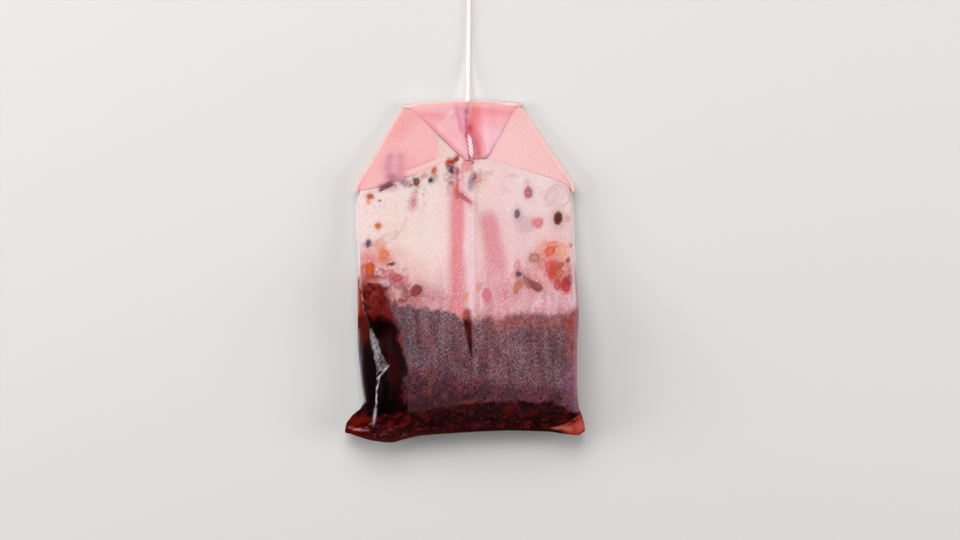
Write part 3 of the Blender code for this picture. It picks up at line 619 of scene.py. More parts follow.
# %% Helpers for node trees
def new_finish(name, roughness=0.5, colour=(0.8, 0.8, 0.8)):
    material = bpy.data.materials.new(name)
    material.use_nodes = True
    shader = material.node_tree.nodes["Principled BSDF"]
    shader.inputs["Roughness"].default_value = roughness
    shader.inputs["Base Color"].default_value = (*colour, 1.0)
    return material, material.node_tree, shader


def set_or_link(tree, socket, value):
    """Sets an input, or links it. A node stands for its first output."""
    if isinstance(value, bpy.types.Node):
        value = value.outputs[0]
    if isinstance(value, bpy.types.NodeSocket):
        tree.links.new(value, socket)
    else:
        socket.default_value = value


def add(tree, kind, inputs=None, **settings):
    """A node with its settings made and its inputs set or linked."""
    node = tree.nodes.new(kind)
    for name, value in settings.items():
        setattr(node, name, value)
    for name, value in (inputs or {}).items():
        set_or_link(tree, node.inputs[name], value)
    return node


def own_values(tree, name):
    """The node that reads a piece's own attribute."""
    return add(tree, "ShaderNodeAttribute", attribute_name=name).outputs


def maths(tree, operation, a, b):
    return add(tree, "ShaderNodeMath", {0: a, 1: b}, operation=operation).outputs[0]


def times(tree, a, b):
    return maths(tree, "MULTIPLY", a, b)


def between(tree, value, low, high, to_low=0.0, to_high=1.0):
    """A value's range moved to another, and held there."""
    ends = {"From Min": low, "From Max": high, "To Min": to_low, "To Max": to_high}
    return add(tree, "ShaderNodeMapRange", {"Value": value, **ends}, clamp=True).outputs["Result"]


def blend_colour(tree, factor, first, second, blend="MIX"):
    """The first colour where the factor is 0 and the second where it is 1."""
    first, second = (c if isinstance(c, bpy.types.NodeSocket) else (*c, 1.0) for c in (first, second))
    node = add(tree, "ShaderNodeMix", data_type="RGBA", blend_type=blend)
    for number, value in ((0, factor), (6, first), (7, second)):
        set_or_link(tree, node.inputs[number], value)
    return node.outputs[2]


def grain(tree, stretch, detail=2.0, rough=0.5):
    """Noise on the piece's own coordinates, with so many bumps a millimetre along X, Y and Z."""
    place = add(tree, "ShaderNodeTexCoord").outputs["Object"]
    scaled = add(tree, "ShaderNodeMapping", {"Vector": place, "Scale": [s / MM for s in stretch]})
    settings = {"Vector": scaled, "Scale": 1.0, "Detail": detail, "Roughness": rough}
    return add(tree, "ShaderNodeTexNoise", settings).outputs["Fac"]


def bump(tree, shader, height, strength, distance):
    node = add(tree, "ShaderNodeBump", {"Height": height, "Strength": strength, "Distance": distance * MM})
    tree.links.new(node.outputs[0], shader.inputs["Normal"])
    return node


# %% Cotton
cotton, tree, shader = new_finish("cotton_thread", 0.8, srgb(246, 232, 222))
groove = own_values(tree, "groove")["Fac"]
soaked = own_values(tree, "soaked")["Fac"]
fibres = grain(tree, (7.0, 7.0, 7.0), 2.0)
raised = blend_colour(tree, soaked, srgb(255, 249, 243), srgb(252, 214, 224))
# The grooves between the plies are painted darker, and pinker where soaked: painted shade in the twist's
# hollows.
groove_shade = blend_colour(tree, soaked, srgb(247, 231, 222), srgb(200, 84, 118))
worn = blend_colour(tree, between(tree, fibres, 0.4, 0.7, 0.0, 0.25), raised, srgb(240, 214, 204))
twisted = blend_colour(tree, between(tree, groove, 0.10, 0.40), worn, groove_shade)
tree.links.new(twisted, shader.inputs["Base Color"])
bump(tree, shader, fibres, 0.4, 0.05)
shader.inputs["Sheen Weight"].default_value = 0.2

# %% [markdown]
# ## Stray fibres
#
# Cotton is spun from short hairs, and their ends stand off the thread. They repeat along a
# path, which is work for Geometry Nodes: one bent hair is placed on many points of the
# route, each with its own turn and length.


# %% Geometry Nodes tree: hairs along a route
def new_tree(name, *sizes):
    """A Geometry Nodes tree with named inputs for its sizes, and those inputs."""
    tree = bpy.data.node_groups.new(name, "GeometryNodeTree")
    face = tree.interface
    face.new_socket("Geometry", in_out="INPUT", socket_type="NodeSocketGeometry")
    face.new_socket("Geometry", in_out="OUTPUT", socket_type="NodeSocketGeometry")
    for label, kind, value in sizes:
        face.new_socket(label, in_out="INPUT", socket_type="NodeSocket" + kind).default_value = value
    return tree, add(tree, "NodeGroupInput").outputs


def finish_tree(tree, geometry, material):
    """Gives a tree's result its material, and sends it out."""
    coloured = add(tree, "GeometryNodeSetMaterial", {"Geometry": geometry, "Material": material})
    add(tree, "NodeGroupOutput", {0: coloured})
    return tree


def hair_tree(material):
    tree, inside = new_tree(
        "stray_hairs",
        ("Count", "Int", 300), ("Length", "Float", 0.0012), ("Thickness", "Float", 0.00002),
        ("Seed", "Int", 3),
    )
    even = add(tree, "GeometryNodeResampleCurve", {"Curve": inside["Geometry"], "Count": inside["Count"]})
    half, rise = times(tree, inside["Length"], 0.55), times(tree, inside["Length"], 0.8)
    middle = add(tree, "ShaderNodeCombineXYZ", {0: half, 2: rise})
    end = add(tree, "ShaderNodeCombineXYZ", {0: inside["Length"], 2: half})
    bend = {"Resolution": 4, "Start": (0.0, 0.0, 0.0), "Middle": middle, "End": end}
    hair = add(tree, "GeometryNodeCurveQuadraticBezier", bend)
    profile = add(tree, "GeometryNodeCurvePrimitiveCircle", {"Resolution": 3, "Radius": inside["Thickness"]})
    outline = {"Curve": hair, "Profile Curve": profile, "Fill Caps": True}
    solid = add(tree, "GeometryNodeCurveToMesh", outline)
    ends = {"Seed": inside["Seed"], 0: (-3.14, -3.14, -3.14), 1: (3.14, 3.14, 3.14)}
    spin = add(tree, "FunctionNodeRandomValue", ends, data_type="FLOAT_VECTOR")
    ends = {"Seed": inside["Seed"], 2: 0.35, 3: 1.3}
    size = add(tree, "FunctionNodeRandomValue", ends, data_type="FLOAT")
    spread = {"Points": even, "Instance": solid, "Rotation": spin, "Scale": size.outputs[1]}
    placed = add(tree, "GeometryNodeInstanceOnPoints", spread)
    real = add(tree, "GeometryNodeRealizeInstances", {0: placed})
    return finish_tree(tree, real, material)


def evaluated(thing, name):
    """A node tree's result as a plain mesh object. The object that carried the tree goes."""
    graph = bpy.context.evaluated_depsgraph_get()
    mesh = bpy.data.meshes.new_from_object(thing.evaluated_get(graph))
    mesh.name = name
    bpy.data.objects.remove(thing, do_unlink=True)
    return new_object(name, mesh)


def with_tree(thing, tree, **values):
    """Puts a node tree on an object, with its named inputs set."""
    modifier = thing.modifiers.new("nodes", "NODES")
    modifier.node_group = tree
    for item in tree.interface.items_tree:
        if item.in_out == "INPUT" and item.name in values:
            modifier[item.identifier] = values[item.name]
    return thing


def route_curve(name, route):
    """A poly curve along a route in millimetres."""
    curve = bpy.data.curves.new(name, "CURVE")
    curve.dimensions = "3D"
    line = curve.splines.new("POLY")
    line.points.add(len(route) - 1)
    for point, place in zip(line.points, route):
        point.co = (*(np.asarray(place) * MM), 1.0)
    return new_object(name, curve)


def join(name, *things):
    """One mesh object from several."""
    shape = bmesh.new()
    for thing in things:
        shape.from_mesh(thing.data)
    mesh = bpy.data.meshes.new(name)
    shape.to_mesh(mesh)
    shape.free()
    for material in things[0].data.materials:
        mesh.materials.append(material)
    for thing in things:
        bpy.data.objects.remove(thing, do_unlink=True)
    return new_object(name, mesh)


# %% The thread's two runs
HAIRS = hair_tree(cotton)


def set_values(thing, name, values):
    """Stores a number, or a colour of three numbers, for each point of a mesh."""
    values = np.asarray(values, float)
    kind, field = ("FLOAT_COLOR", "color") if values.ndim == 2 else ("FLOAT", "value")
    if values.ndim == 2:
        values = np.column_stack([values, np.ones(len(values))])
    thing.data.attributes.new(name, kind, "POINT").data.foreach_set(field, values.ravel())


def thread_piece(name, path, hairs, seed, juice, swells=()):
    points, faces, depth = twisted_thread(path, swells, seed=seed)
    plies = closed(mesh_object(name + "_plies", points, faces, cotton))
    set_values(plies, "groove", depth)
    carrier = with_tree(route_curve(name + "_route", path), HAIRS, Count=hairs, Seed=seed)
    fuzz = evaluated(carrier, name + "_fuzz")
    for corner in fuzz.data.vertices:
        corner.co.z = max(corner.co.z, 0.02 * MM)
    piece = join(name, plies, fuzz)
    set_values(piece, "soaked", [juice] * len(piece.data.vertices))
    return piece


thread = thread_piece("thread", thread_path, 420, 5, 0.12, [(33.3, 0.35, 0.5)])
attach(thread, "root")
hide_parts("thread_lead", "thread_coil", "thread_tail")
print("thread:", len(thread.data.polygons), "faces")

TIP_REST = 0.40
OVER = TIP_REST + 0.08 + THREAD / 2
STITCH = [
    (1.30, 18.2, (FRONT_LOW(18.2) + FRONT_HIGH(18.2)) / 2),
    (1.34, 19.4, (FRONT_LOW(19.4) + FRONT_HIGH(19.4)) / 2 + 0.4),
    (1.38, 20.4, front_top(1.38, 20.4) - 0.35),
    (1.36, 21.1, front_top(1.36, 21.1) + OVER - 0.45),
    (1.30, 21.9, front_top(1.30, 21.9) + OVER - 0.12),
    (1.22, 22.8, front_top(1.2, 22.8) + OVER + 0.05),
    (1.02, 24.4, front_top(1.0, 24.4) + OVER + 0.08),
    (0.84, 25.6, front_top(0.8, 25.6) + OVER - 0.10),
    (0.70, 26.6, front_top(0.7, 26.6) + OVER - 0.42),
    (0.56, 28.2, front_top(0.5, 28.2) + 0.46),
    (0.50, 30.2, thread_high - 0.12),
    (0.50, 32.3, thread_high),
]
stitch_path, stitch_length = evenly(curve_through([[float(v) for v in p] for p in STITCH], 10), 0.2)
stitch = thread_piece("stitch", stitch_path, 5, 8, 0.85, [(26.7, -0.45, 0.9), (21.3, -0.45, 0.8)])
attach(stitch, "root")
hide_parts("thread_stitch")
print("stitch:", round(stitch_length, 1), "mm")

# %% [markdown]
# ## Paper, as a mesh
#
# The tube's two plies get a fine grid in front, where every wrinkle is seen, and a coarser
# one behind. The wall is real: an outer and an inner skin, joined at the tube's open ends.
# The tip goes on from the back ply, over the top and down the front.

# %% Places round a section
FRONT_STEPS, FAR_STEPS = 184, 28
UNDER_TIP = 21.5
u_even = 1 - 2 * np.arange(FRONT_STEPS + 1) / FRONT_STEPS
u_round = np.cos(np.pi * np.arange(FRONT_STEPS + 1) / FRONT_STEPS)
U_FRONT = 0.65 * u_even + 0.35 * u_round
U_FRONT = U_FRONT - 0.12 * (1 - U_FRONT**2)
U_FAR = -np.cos(np.pi * np.arange(1, FAR_STEPS) / FAR_STEPS)
U = np.concatenate([U_FRONT, U_FAR])
SIDE = np.concatenate([np.ones(FRONT_STEPS + 1), -np.ones(FAR_STEPS - 1)])


def whole_tube():
    """Every section from the front end, through the W, to the back end."""
    hidden_rows = np.linspace(TUBE_TOP, UNDER_TIP, 14, endpoint=False)
    front = front_tube(np.append(hidden_rows, np.linspace(UNDER_TIP, CREASE_Y, 214)))
    back = back_tube(np.linspace(CREASE_Y, TUBE_TOP, 44))
    leg_y = np.linspace(CREASE_Y, VALLEY_Y, 6)
    leg_front = flat_tube(leg_y, np.linspace(5.6, 7.35, 6))
    leg_back = flat_tube(leg_y[::-1], np.linspace(6.25, 3.6, 6))
    first, last = len(front.y), len(back.y)
    tube = front.joined(
        turn_tube(CREASE_Y, front.z[-1], leg_front.z[0], -1),
        leg_front,
        turn_tube(VALLEY_Y, leg_front.z[-1], leg_back.z[0], 1),
        leg_back,
        turn_tube(CREASE_Y, leg_back.z[-1], back.z[0], -1),
        back,
    )
    dy, dz = np.gradient(tube.y), np.gradient(tube.z)
    length = np.hypot(dy, dz)
    middle = slice(first, len(tube.y) - last)
    tube.ny[middle], tube.nz[middle] = (dz / length)[middle], (-dy / length)[middle]
    return tube, first, len(tube.y) - last


tube, W_START, W_END = whole_tube()
outer_skin = tube_points(tube, U, SIDE, 0.0)
inner_skin = tube_points(tube, U, SIDE, WALL)
print("paper tube:", outer_skin.shape[0], "sections of", outer_skin.shape[1], "points")

# %% The tip, folded over
TIP_BEND = [
    (32.1, 0.20, -12.15, 11.1), (32.55, 0.42, -12.2, 11.15), (32.9, 0.80, -12.2, 11.15),
    (33.05, 1.25, -12.2, 11.15), (33.05, 1.65, -12.2, 11.15), (32.9, 2.08, -12.2, 11.15),
    (32.6, 2.36, -12.1, 11.05), (32.2, 2.52, -11.9, 10.9), (31.8, 2.56, -11.6, 10.6),
]
TIP_LEFT = smooth((31.4, -11.1), (30.9, -10.1), (30.0, -9.1), (26.0, -4.95), (22.5, -1.35), (21.3, -0.1))
TIP_RIGHT = smooth((31.4, 10.1), (30.9, 9.6), (30.0, 9.0), (26.0, 6.8), (22.5, 4.8), (21.3, 4.3))
TIP_STRIP = [
    (-1.85, 33.0), (-1.83, 31.6), (-1.5, 29.7), (-1.1, 28.0), (-1.0, 27.2), (-0.62, 26.4), (0.06, 26.3),
    (0.39, 25.3), (0.62, 23.6), (0.77, 22.2), (0.77, 21.3),
]
TIP_END = 21.3


def strip_edge(y):
    """X of the upper half's edge on the tip, at each y."""
    route = np.array(TIP_STRIP)[::-1]
    return np.interp(y, route[:, 1], route[:, 0])


def tip_relief(x, y):
    """Ridge over the hidden thread, the step of the folded half, and its creases."""
    edge = strip_edge(y)
    crest = (1.05 + 0.45 * past(y, 30.0, 1.5)) * past(y, 26.3, 0.7)
    rise = crest * hump(x, 0.5, 0.52)
    rise = rise + 0.18 * ease((edge - x) / 0.30 + 0.5) * past(x, -9.0, 6.0)
    rise = rise + 0.22 * stroke(x, y, [(-4.0, 28.1), (-2.1, 30.6)], 0.35)
    rise = rise - 0.18 * stroke(x, y, [(-7.5, 29.6), (-3.0, 29.2)], 0.8)
    rise = rise - 0.35 * hump(x, 0.7, 1.0) * hump(y, 26.6, 1.2)
    rise = rise + 0.35 * stroke(x, y, [(4.6, 31.5), (4.2, 22.0)], 1.1)
    return rise + 0.25 * CREASES(x / 1.9, y / 4.0 + 9)


def tip_rows(columns):
    """The middle surface of the folded tip, from right to left and from behind to the front."""
    path = list(TIP_BEND)
    for y in np.concatenate([np.linspace(31.4, 22.0, 44), [21.8, 21.6, 21.4, TIP_END]]):
        rest = TIP_REST * (0.35 + 0.65 * float(ease((y - TIP_END) / 1.5)))
        path.append((y, float(front_top(0.5, y)) + rest, float(TIP_LEFT(y)), float(TIP_RIGHT(y))))
    rows = []
    for y, z, left, right in path:
        x = (left + right) / 2 + (right - left) / 2 * columns
        flat = np.full_like(x, y)
        edge = np.abs(columns) ** 10
        height = z + past(z, 1.2, 1.4) * tip_relief(x, flat) * (1 - edge)
        sag = before(y, 32.6, 0.9) * (front_top(x, flat) - front_top(0.5, y) - 0.16 * edge)
        arch = -np.where(x < 0, 0.85, 0.50) * np.abs(x / 11.7) ** 1.5 * past(y, 30.3, 2.6)
        slant = before(y, 22.8, 1.5) * np.maximum(0.17 * (x - 1.0), 0.0)
        rows.append(np.stack([x, y + arch + slant, height + sag], axis=1))
    return np.stack(rows)


# %% The corners, folded round the shoulders
LEFT_CORNER = [(-20.9, 15.4), (-16.0, 16.0), (-13.0, 17.1), (-10.0, 18.35), (-7.0, 19.6), (-4.4, 20.9),
               (-5.2, 23.0), (-5.4, 25.5), (-5.6, 28.0), (-6.0, 30.6)]
RIGHT_CORNER = [(20.8, 16.4), (17.2, 17.7), (14.2, 18.6), (11.0, 19.6), (8.0, 20.5), (4.9, 21.4),
                (4.4, 23.0), (4.4, 25.5), (4.8, 28.0), (5.4, 30.6)]
CORNER_START, LEFT_END, RIGHT_END = 15.2, 32.1, 32.5


def corner_skin(side, inner_edge, rows=44, columns=30):
    """The middle surface of one folded corner: from the back's edge, round it and over the front."""
    edge_line, top_end = (BACK_LEFT, LEFT_END) if side < 0 else (BACK_RIGHT, RIGHT_END)
    goal = np.array(inner_edge)
    at = np.linspace(0, len(goal) - 1, rows)
    end = np.stack([np.interp(at, np.arange(len(goal)), goal[:, i]) for i in (0, 1)], axis=1)
    y = CORNER_START + (top_end - CORNER_START) * np.linspace(0, 1, rows) ** 1.1
    x = edge_line(y)
    back, front = back_tube(y).z, front_tube(y).z
    out = np.array([side * math.cos(math.radians(30)), math.sin(math.radians(30))])
    reach = 1 - past(y, 30.9, 1.0)
    skin = []
    for offset, height in (
        (-0.05, back), (0.22, back + 0.02), (0.40, back + 0.25), (0.46, (back + front) / 2 + 0.2),
        (0.38, front + 0.22), (0.20, front + 0.36),
    ):
        skin.append(np.stack([x + out[0] * offset * reach, y + out[1] * offset * reach, height], axis=1))
    start = np.stack([x - out[0] * 0.15, y - out[1] * 0.15], axis=1)
    for t in np.linspace(0, 1, columns) ** 1.1:
        place = start + (end - start) * t
        lift = 0.15 + 0.27 * math.exp(-14 * t) - 0.12 * t**10
        lift = lift + 0.12 * (1 - t) * CREASES(place[:, 0] / 2.6 + 5, place[:, 1] / 2.6)
        top = front_top(place[:, 0], place[:, 1])
        near_edge = math.exp(-30 * t)
        height = (1 - near_edge) * (top + lift) + near_edge * (front + 0.42)
        skin.append(np.column_stack([place, height]))
    return np.stack(skin, axis=1)


def facing_quads(front, back):
    """Quads of two grids of point numbers that look away from each other."""
    faces = []
    for i in range(len(front) - 1):
        for j in range(len(front[0]) - 1):
            faces.append((front[i, j], front[i, j + 1], front[i + 1, j + 1], front[i + 1, j]))
            faces.append((back[i, j], back[i + 1, j], back[i + 1, j + 1], back[i, j + 1]))
    return faces


def thick_grid(skin, wall):
    """Outer and inner points of a grid, and the quads of a closed slab. The wall may vary."""
    rows, columns, _ = skin.shape
    normal = np.cross(np.gradient(skin, axis=0), np.gradient(skin, axis=1))
    normal /= np.linalg.norm(normal, axis=2)[..., None] + 1e-12
    half = normal * np.asarray(wall)[..., None] / 2
    points = np.concatenate([(skin + half).reshape(-1, 3), (skin - half).reshape(-1, 3)])
    number = np.arange(rows * columns).reshape(rows, columns)
    faces = facing_quads(number, number + rows * columns)
    rim = np.concatenate([number[0, :-1], number[:-1, -1], number[-1, :0:-1], number[:0:-1, 0]])
    for a, b in zip(rim, np.roll(rim, -1)):
        faces.append((a, a + rows * columns, b + rows * columns, b))
    return points, faces


# %% [markdown]
# ## Stains, painted light and see-through wet paper
#
# Wet filter paper is white where it is empty, pink where juice has dried into it, and
# almost clear where it sticks to dark tea. These states change over a few millimetres, so
# they are worked out for each point of the mesh from strokes and spots, and kept as three
# attributes: the paper's tint, how much it covers what is behind it, and how wet it is.
# The tint also carries painted highlights, painted glow and painted shade on edges and folds.

# %% Coats of paint
BLOTCHES, SPECKS = noise(31), noise(32)
RIM = 0.28


class Paint:
    """Tint, cover and wetness of a set of places, laid on in coats."""

    def __init__(self, x, y, tint, cover, wet):
        self.x, self.y = x, y
        self.tint = np.ones(x.shape + (3,)) * tint
        self.cover = np.ones(x.shape) * cover
        self.wet = np.ones(x.shape) * wet

    def coat(self, weight, tint=None, cover=None, wet=None):
        weight = np.clip(weight, 0, 1)
        if tint is not None:
            self.tint = self.tint * (1 - weight[..., None]) + srgb(*tint) * weight[..., None]
        if cover is not None:
            self.cover = self.cover * (1 - weight) + cover * weight
        if wet is not None:
            self.wet = self.wet * (1 - weight) + wet * weight

    def spot(self, strength, centre, radii, turn, edge, tint=None, cover=None, wet=None):
        """A coat in the shape of a soft oval."""
        self.coat(strength * spot(self.x, self.y, centre, radii, turn, edge), tint, cover, wet)

    def stroke(self, strength, route, width, tint=None, cover=None, wet=None):
        """A coat along a soft line."""
        self.coat(strength * stroke(self.x, self.y, route, width), tint, cover, wet)


def ragged(x, y, reach=0.7, size=1.3):
    """The same places pushed about a little, so that a stain's edge isn't smooth."""
    return x + reach * CLUMPS(x / size + 3, y / size), y + reach * LUMPS(x / size, y / size + 8)


# %% Juice stains in the front ply
# centre, radii, turn, colour, strength
SPOTS = [
    ((-1.6, 21.6), (0.55, 0.5), 40, (136, 20, 30), 0.95),
    ((-2.15, 21.0), (0.5, 0.5), 0, (190, 54, 48), 0.85),
    ((-3.1, 21.0), (0.7, 0.5), 30, (204, 82, 28), 0.95),
    ((-3.2, 20.2), (0.45, 0.55), 0, (196, 76, 48), 0.9),
    ((-2.4, 19.9), (0.6, 0.45), -30, (92, 20, 36), 0.9),
    ((-2.6, 19.2), (0.5, 0.7), 0, (112, 80, 108), 0.8),
    ((-1.5, 19.2), (0.35, 0.8), 0, (190, 76, 88), 0.9),
    ((-1.9, 16.0), (0.7, 1.5), 5, (226, 128, 76), 0.95),
    ((-2.8, 17.4), (0.5, 1.6), 0, (206, 150, 160), 0.7),
    ((-1.0, 17.0), (1.0, 2.2), 0, (244, 180, 186), 0.6),
    ((0.4, 20.2), (1.0, 1.0), 0, (240, 158, 160), 0.8),
    ((1.3, 17.2), (0.8, 1.7), -14, (152, 130, 152), 0.85),
    ((2.0, 18.0), (0.5, 1.1), -12, (142, 80, 92), 0.85),
    ((2.8, 17.2), (0.6, 1.6), -6, (222, 140, 112), 0.85),
    ((3.6, 17.6), (0.8, 1.3), 0, (238, 190, 176), 0.6),
    ((4.4, 18.8), (1.3, 0.5), 20, (222, 182, 200), 0.6),
    ((9.2, 18.1), (0.8, 0.5), 0, (200, 182, 200), 0.45),
    ((12.0, 17.0), (0.6, 0.9), 10, (206, 174, 196), 0.4),
    ((7.6, 15.6), (1.2, 1.0), 0, (246, 210, 210), 0.6),
    ((14.9, 14.8), (0.5, 0.5), 0, (246, 212, 184), 0.6),
    ((19.9, 9.8), (0.6, 0.7), 0, (236, 160, 164), 0.7),
    ((18.0, 15.2), (2.6, 2.4), 30, (240, 214, 214), 0.4),
    ((-11.4, 16.9), (1.2, 0.7), -12, (150, 118, 128), 0.75),
    ((-8.0, 18.3), (0.7, 0.5), 20, (214, 130, 92), 0.7),
    ((-6.3, 17.9), (0.9, 0.9), 0, (150, 130, 140), 0.45),
    ((-14.2, 16.3), (1.9, 0.9), 25, (206, 140, 152), 0.45),
    ((-10.0, 13.4), (0.9, 2.0), -12, (214, 140, 144), 0.75),
    ((-18.8, 13.0), (0.6, 0.45), 20, (232, 150, 104), 0.8),
    ((-16.5, 13.3), (0.28, 0.28), 0, (130, 40, 72), 0.9),
    ((-7.9, 14.6), (0.2, 0.2), 0, (190, 60, 80), 0.8),
    ((-16.8, 7.6), (0.35, 0.5), 0, (244, 196, 128), 0.7),
    ((-16.5, 4.9), (1.3, 1.2), 40, (244, 168, 126), 0.85),
    ((-18.9, 5.0), (1.0, 0.5), 15, (206, 150, 160), 0.6),
    ((-15.6, 2.2), (1.8, 1.4), -30, (232, 122, 104), 0.8),
    ((-18.7, 1.8), (1.8, 2.2), 0, (232, 140, 140), 0.75),
    ((-12.6, 3.2), (1.5, 1.2), 0, (238, 190, 190), 0.5),
    ((0.5, -5.0), (0.45, 1.0), 0, (234, 140, 96), 0.75),
    ((0.55, -8.4), (0.75, 0.9), 0, (200, 86, 36), 0.9),
    ((2.8, -3.0), (0.6, 0.9), 0, (234, 140, 130), 0.5),
    ((5.0, -10.1), (0.45, 0.25), 0, (226, 156, 62), 0.9),
    ((11.6, 8.8), (1.7, 1.7), -30, (216, 172, 182), 0.6),
    ((16.3, 3.6), (2.2, 1.9), 0, (238, 142, 114), 0.8),
    ((17.0, 1.0), (2.2, 1.8), 20, (224, 92, 96), 0.75),
    ((18.9, 3.8), (1.2, 1.4), 0, (244, 164, 140), 0.7),
    ((13.2, 1.0), (1.5, 2.0), 0, (230, 164, 160), 0.5),
    ((17.2, -0.6), (1.2, 1.5), 0, (198, 62, 52), 0.85),
    ((19.2, -2.6), (1.2, 2.2), 30, (210, 74, 70), 0.85),
    ((20.2, -0.4), (0.9, 1.3), 0, (206, 100, 90), 0.7),
    ((12.4, -2.2), (2.8, 1.8), -35, (222, 150, 146), 0.6),
    ((19.9, 1.7), (0.45, 0.8), 0, (196, 90, 96), 0.7),
    ((17.2, 3.4), (3.4, 3.4), 0, (244, 182, 170), 0.5),
    ((16.4, -0.8), (3.6, 2.8), -20, (232, 152, 150), 0.45),
    ((-13.6, -2.2), (3.2, 2.2), -10, (220, 156, 160), 0.5),
    ((-18.4, -1.5), (2.0, 0.9), 0, (196, 84, 76), 0.85),
]
# centre, radii, turn, colour, rim colour
PETALS = [
    ((16.9, 4.8), (1.2, 0.7), 10, (238, 158, 138), (224, 112, 104)),
    ((18.6, 3.9), (0.9, 1.2), 0, (247, 186, 156), (240, 160, 136)),
    ((14.8, 1.3), (0.9, 0.9), 0, (236, 146, 154), (230, 126, 138)),
    ((17.0, 0.4), (1.5, 1.6), 20, (226, 104, 98), (214, 80, 82)),
    ((18.1, -0.5), (1.1, 1.0), 0, (212, 124, 76), (196, 84, 60)),
    ((17.7, -2.9), (0.7, 1.1), 0, (206, 84, 80), (186, 54, 56)),
    ((19.4, -2.9), (0.9, 1.4), -15, (214, 78, 72), (196, 58, 62)),
    ((20.4, -1.9), (0.6, 1.0), 0, (160, 78, 90), (140, 60, 76)),
    ((20.0, 1.9), (0.35, 0.5), -30, (180, 76, 88), (170, 66, 80)),
    ((20.5, 4.8), (0.25, 0.4), 0, (196, 96, 108), (190, 90, 100)),
    ((10.1, 0.6), (0.6, 1.2), -10, (234, 156, 166), (218, 124, 140)),
    ((9.4, -1.0), (0.6, 0.7), 0, (238, 172, 152), (228, 146, 132)),
    ((12.0, -2.3), (1.3, 0.8), -62, (190, 116, 122), (166, 90, 98)),
    ((13.4, -3.2), (1.1, 0.5), -40, (150, 80, 78), (126, 56, 62)),
    ((10.3, -3.0), (0.7, 1.2), -20, (220, 148, 122), (200, 112, 104)),
    ((4.2, -4.8), (0.8, 1.3), 12, (226, 122, 134), (214, 104, 120)),
    ((2.9, -3.2), (0.5, 0.7), 0, (240, 170, 152), (234, 150, 140)),
    ((7.9, -4.6), (0.5, 1.0), 0, (228, 146, 154), (222, 132, 144)),
    ((14.1, 9.1), (1.2, 1.1), 8, (240, 160, 156), (232, 140, 142)),
    ((-16.3, 5.3), (0.8, 0.7), 20, (244, 178, 138), (232, 140, 106)),
    ((-15.8, 2.9), (0.9, 1.3), -10, (238, 150, 112), (222, 110, 84)),
    ((-19.2, 0.0), (1.1, 1.0), 0, (222, 112, 52), (200, 84, 44)),
    ((-17.9, 0.3), (0.8, 0.7), 30, (226, 130, 80), (206, 98, 66)),
    ((-14.6, -0.6), (1.0, 0.8), 40, (222, 130, 126), (204, 100, 102)),
    ((-13.2, -1.5), (1.3, 0.8), -20, (206, 116, 112), (180, 84, 88)),
    ((-12.6, -3.2), (0.8, 1.0), 20, (214, 140, 116), (186, 96, 86)),
    ((-9.4, -3.8), (0.9, 1.1), 10, (160, 78, 70), (134, 56, 56)),
    ((-16.4, -2.4), (0.9, 1.2), -30, (200, 70, 70), (172, 50, 56)),
    ((-16.2, -0.3), (0.9, 0.6), 30, (200, 84, 110), (176, 60, 92)),
    # The next pale oval with a darker rim is a painted highlight.
    ((-15.9, -2.2), (0.8, 0.9), 0, (238, 210, 216), (186, 130, 146)),
    ((-13.8, -2.3), (1.1, 0.8), -30, (192, 116, 138), (158, 80, 108)),
    ((-11.8, -1.9), (0.9, 0.7), 10, (216, 146, 154), (190, 112, 126)),
    ((-13.2, -4.7), (1.1, 0.8), 20, (224, 156, 132), (200, 116, 106)),
    ((-10.9, -4.6), (0.9, 0.8), 0, (186, 108, 106), (156, 78, 84)),
]
# route, half width, colour, strength
STREAKS = [
    ([(-1.6, 19.4), (-1.55, 14.0)], 0.32, (204, 100, 112), 0.9),
    ([(-3.3, 18.8), (-3.2, 15.0)], 0.4, (206, 150, 160), 0.55),
    ([(2.6, 16.4), (2.5, 10.8)], 0.9, (250, 222, 208), 0.7),
    ([(4.2, 16.6), (4.3, 13.2)], 0.6, (246, 220, 196), 0.5),
    ([(-13.4, 19.0), (-12.6, 17.6), (-11.6, 16.2)], 0.5, (176, 150, 160), 0.55),
    ([(-11.6, 10.4), (-12.6, 8.0), (-14.6, 5.5)], 0.12, (252, 226, 224), 0.7),
    ([(-11.3, 10.3), (-12.3, 7.9), (-14.3, 5.4)], 0.14, (222, 164, 166), 0.5),
    ([(-18.7, 4.4), (-17.0, 5.0), (-15.6, 5.6)], 0.15, (206, 120, 120), 0.5),
    ([(15.4, 13.4), (15.9, 15.4), (17.6, 16.6), (19.6, 16.0), (20.3, 13.6), (18.9, 12.4)],
     0.14, (216, 160, 166), 0.6),
    # The next three pale lines are painted highlights: down the left edge, down the right edge, and a short
    # soft one at the left.
    ([(-20.6, 14.0), (-20.5, 3.0)], 0.35, (252, 232, 232), 0.6),
    ([(21.0, 15.4), (21.1, -6.0)], 0.45, (252, 234, 236), 0.7),
    ([(-16.4, -0.5), (-16.2, -2.3)], 0.4, (247, 224, 230), 0.6),
    ([(-16.4, 15.4), (-14.1, 16.55)], 0.32, (104, 30, 56), 0.95),
]
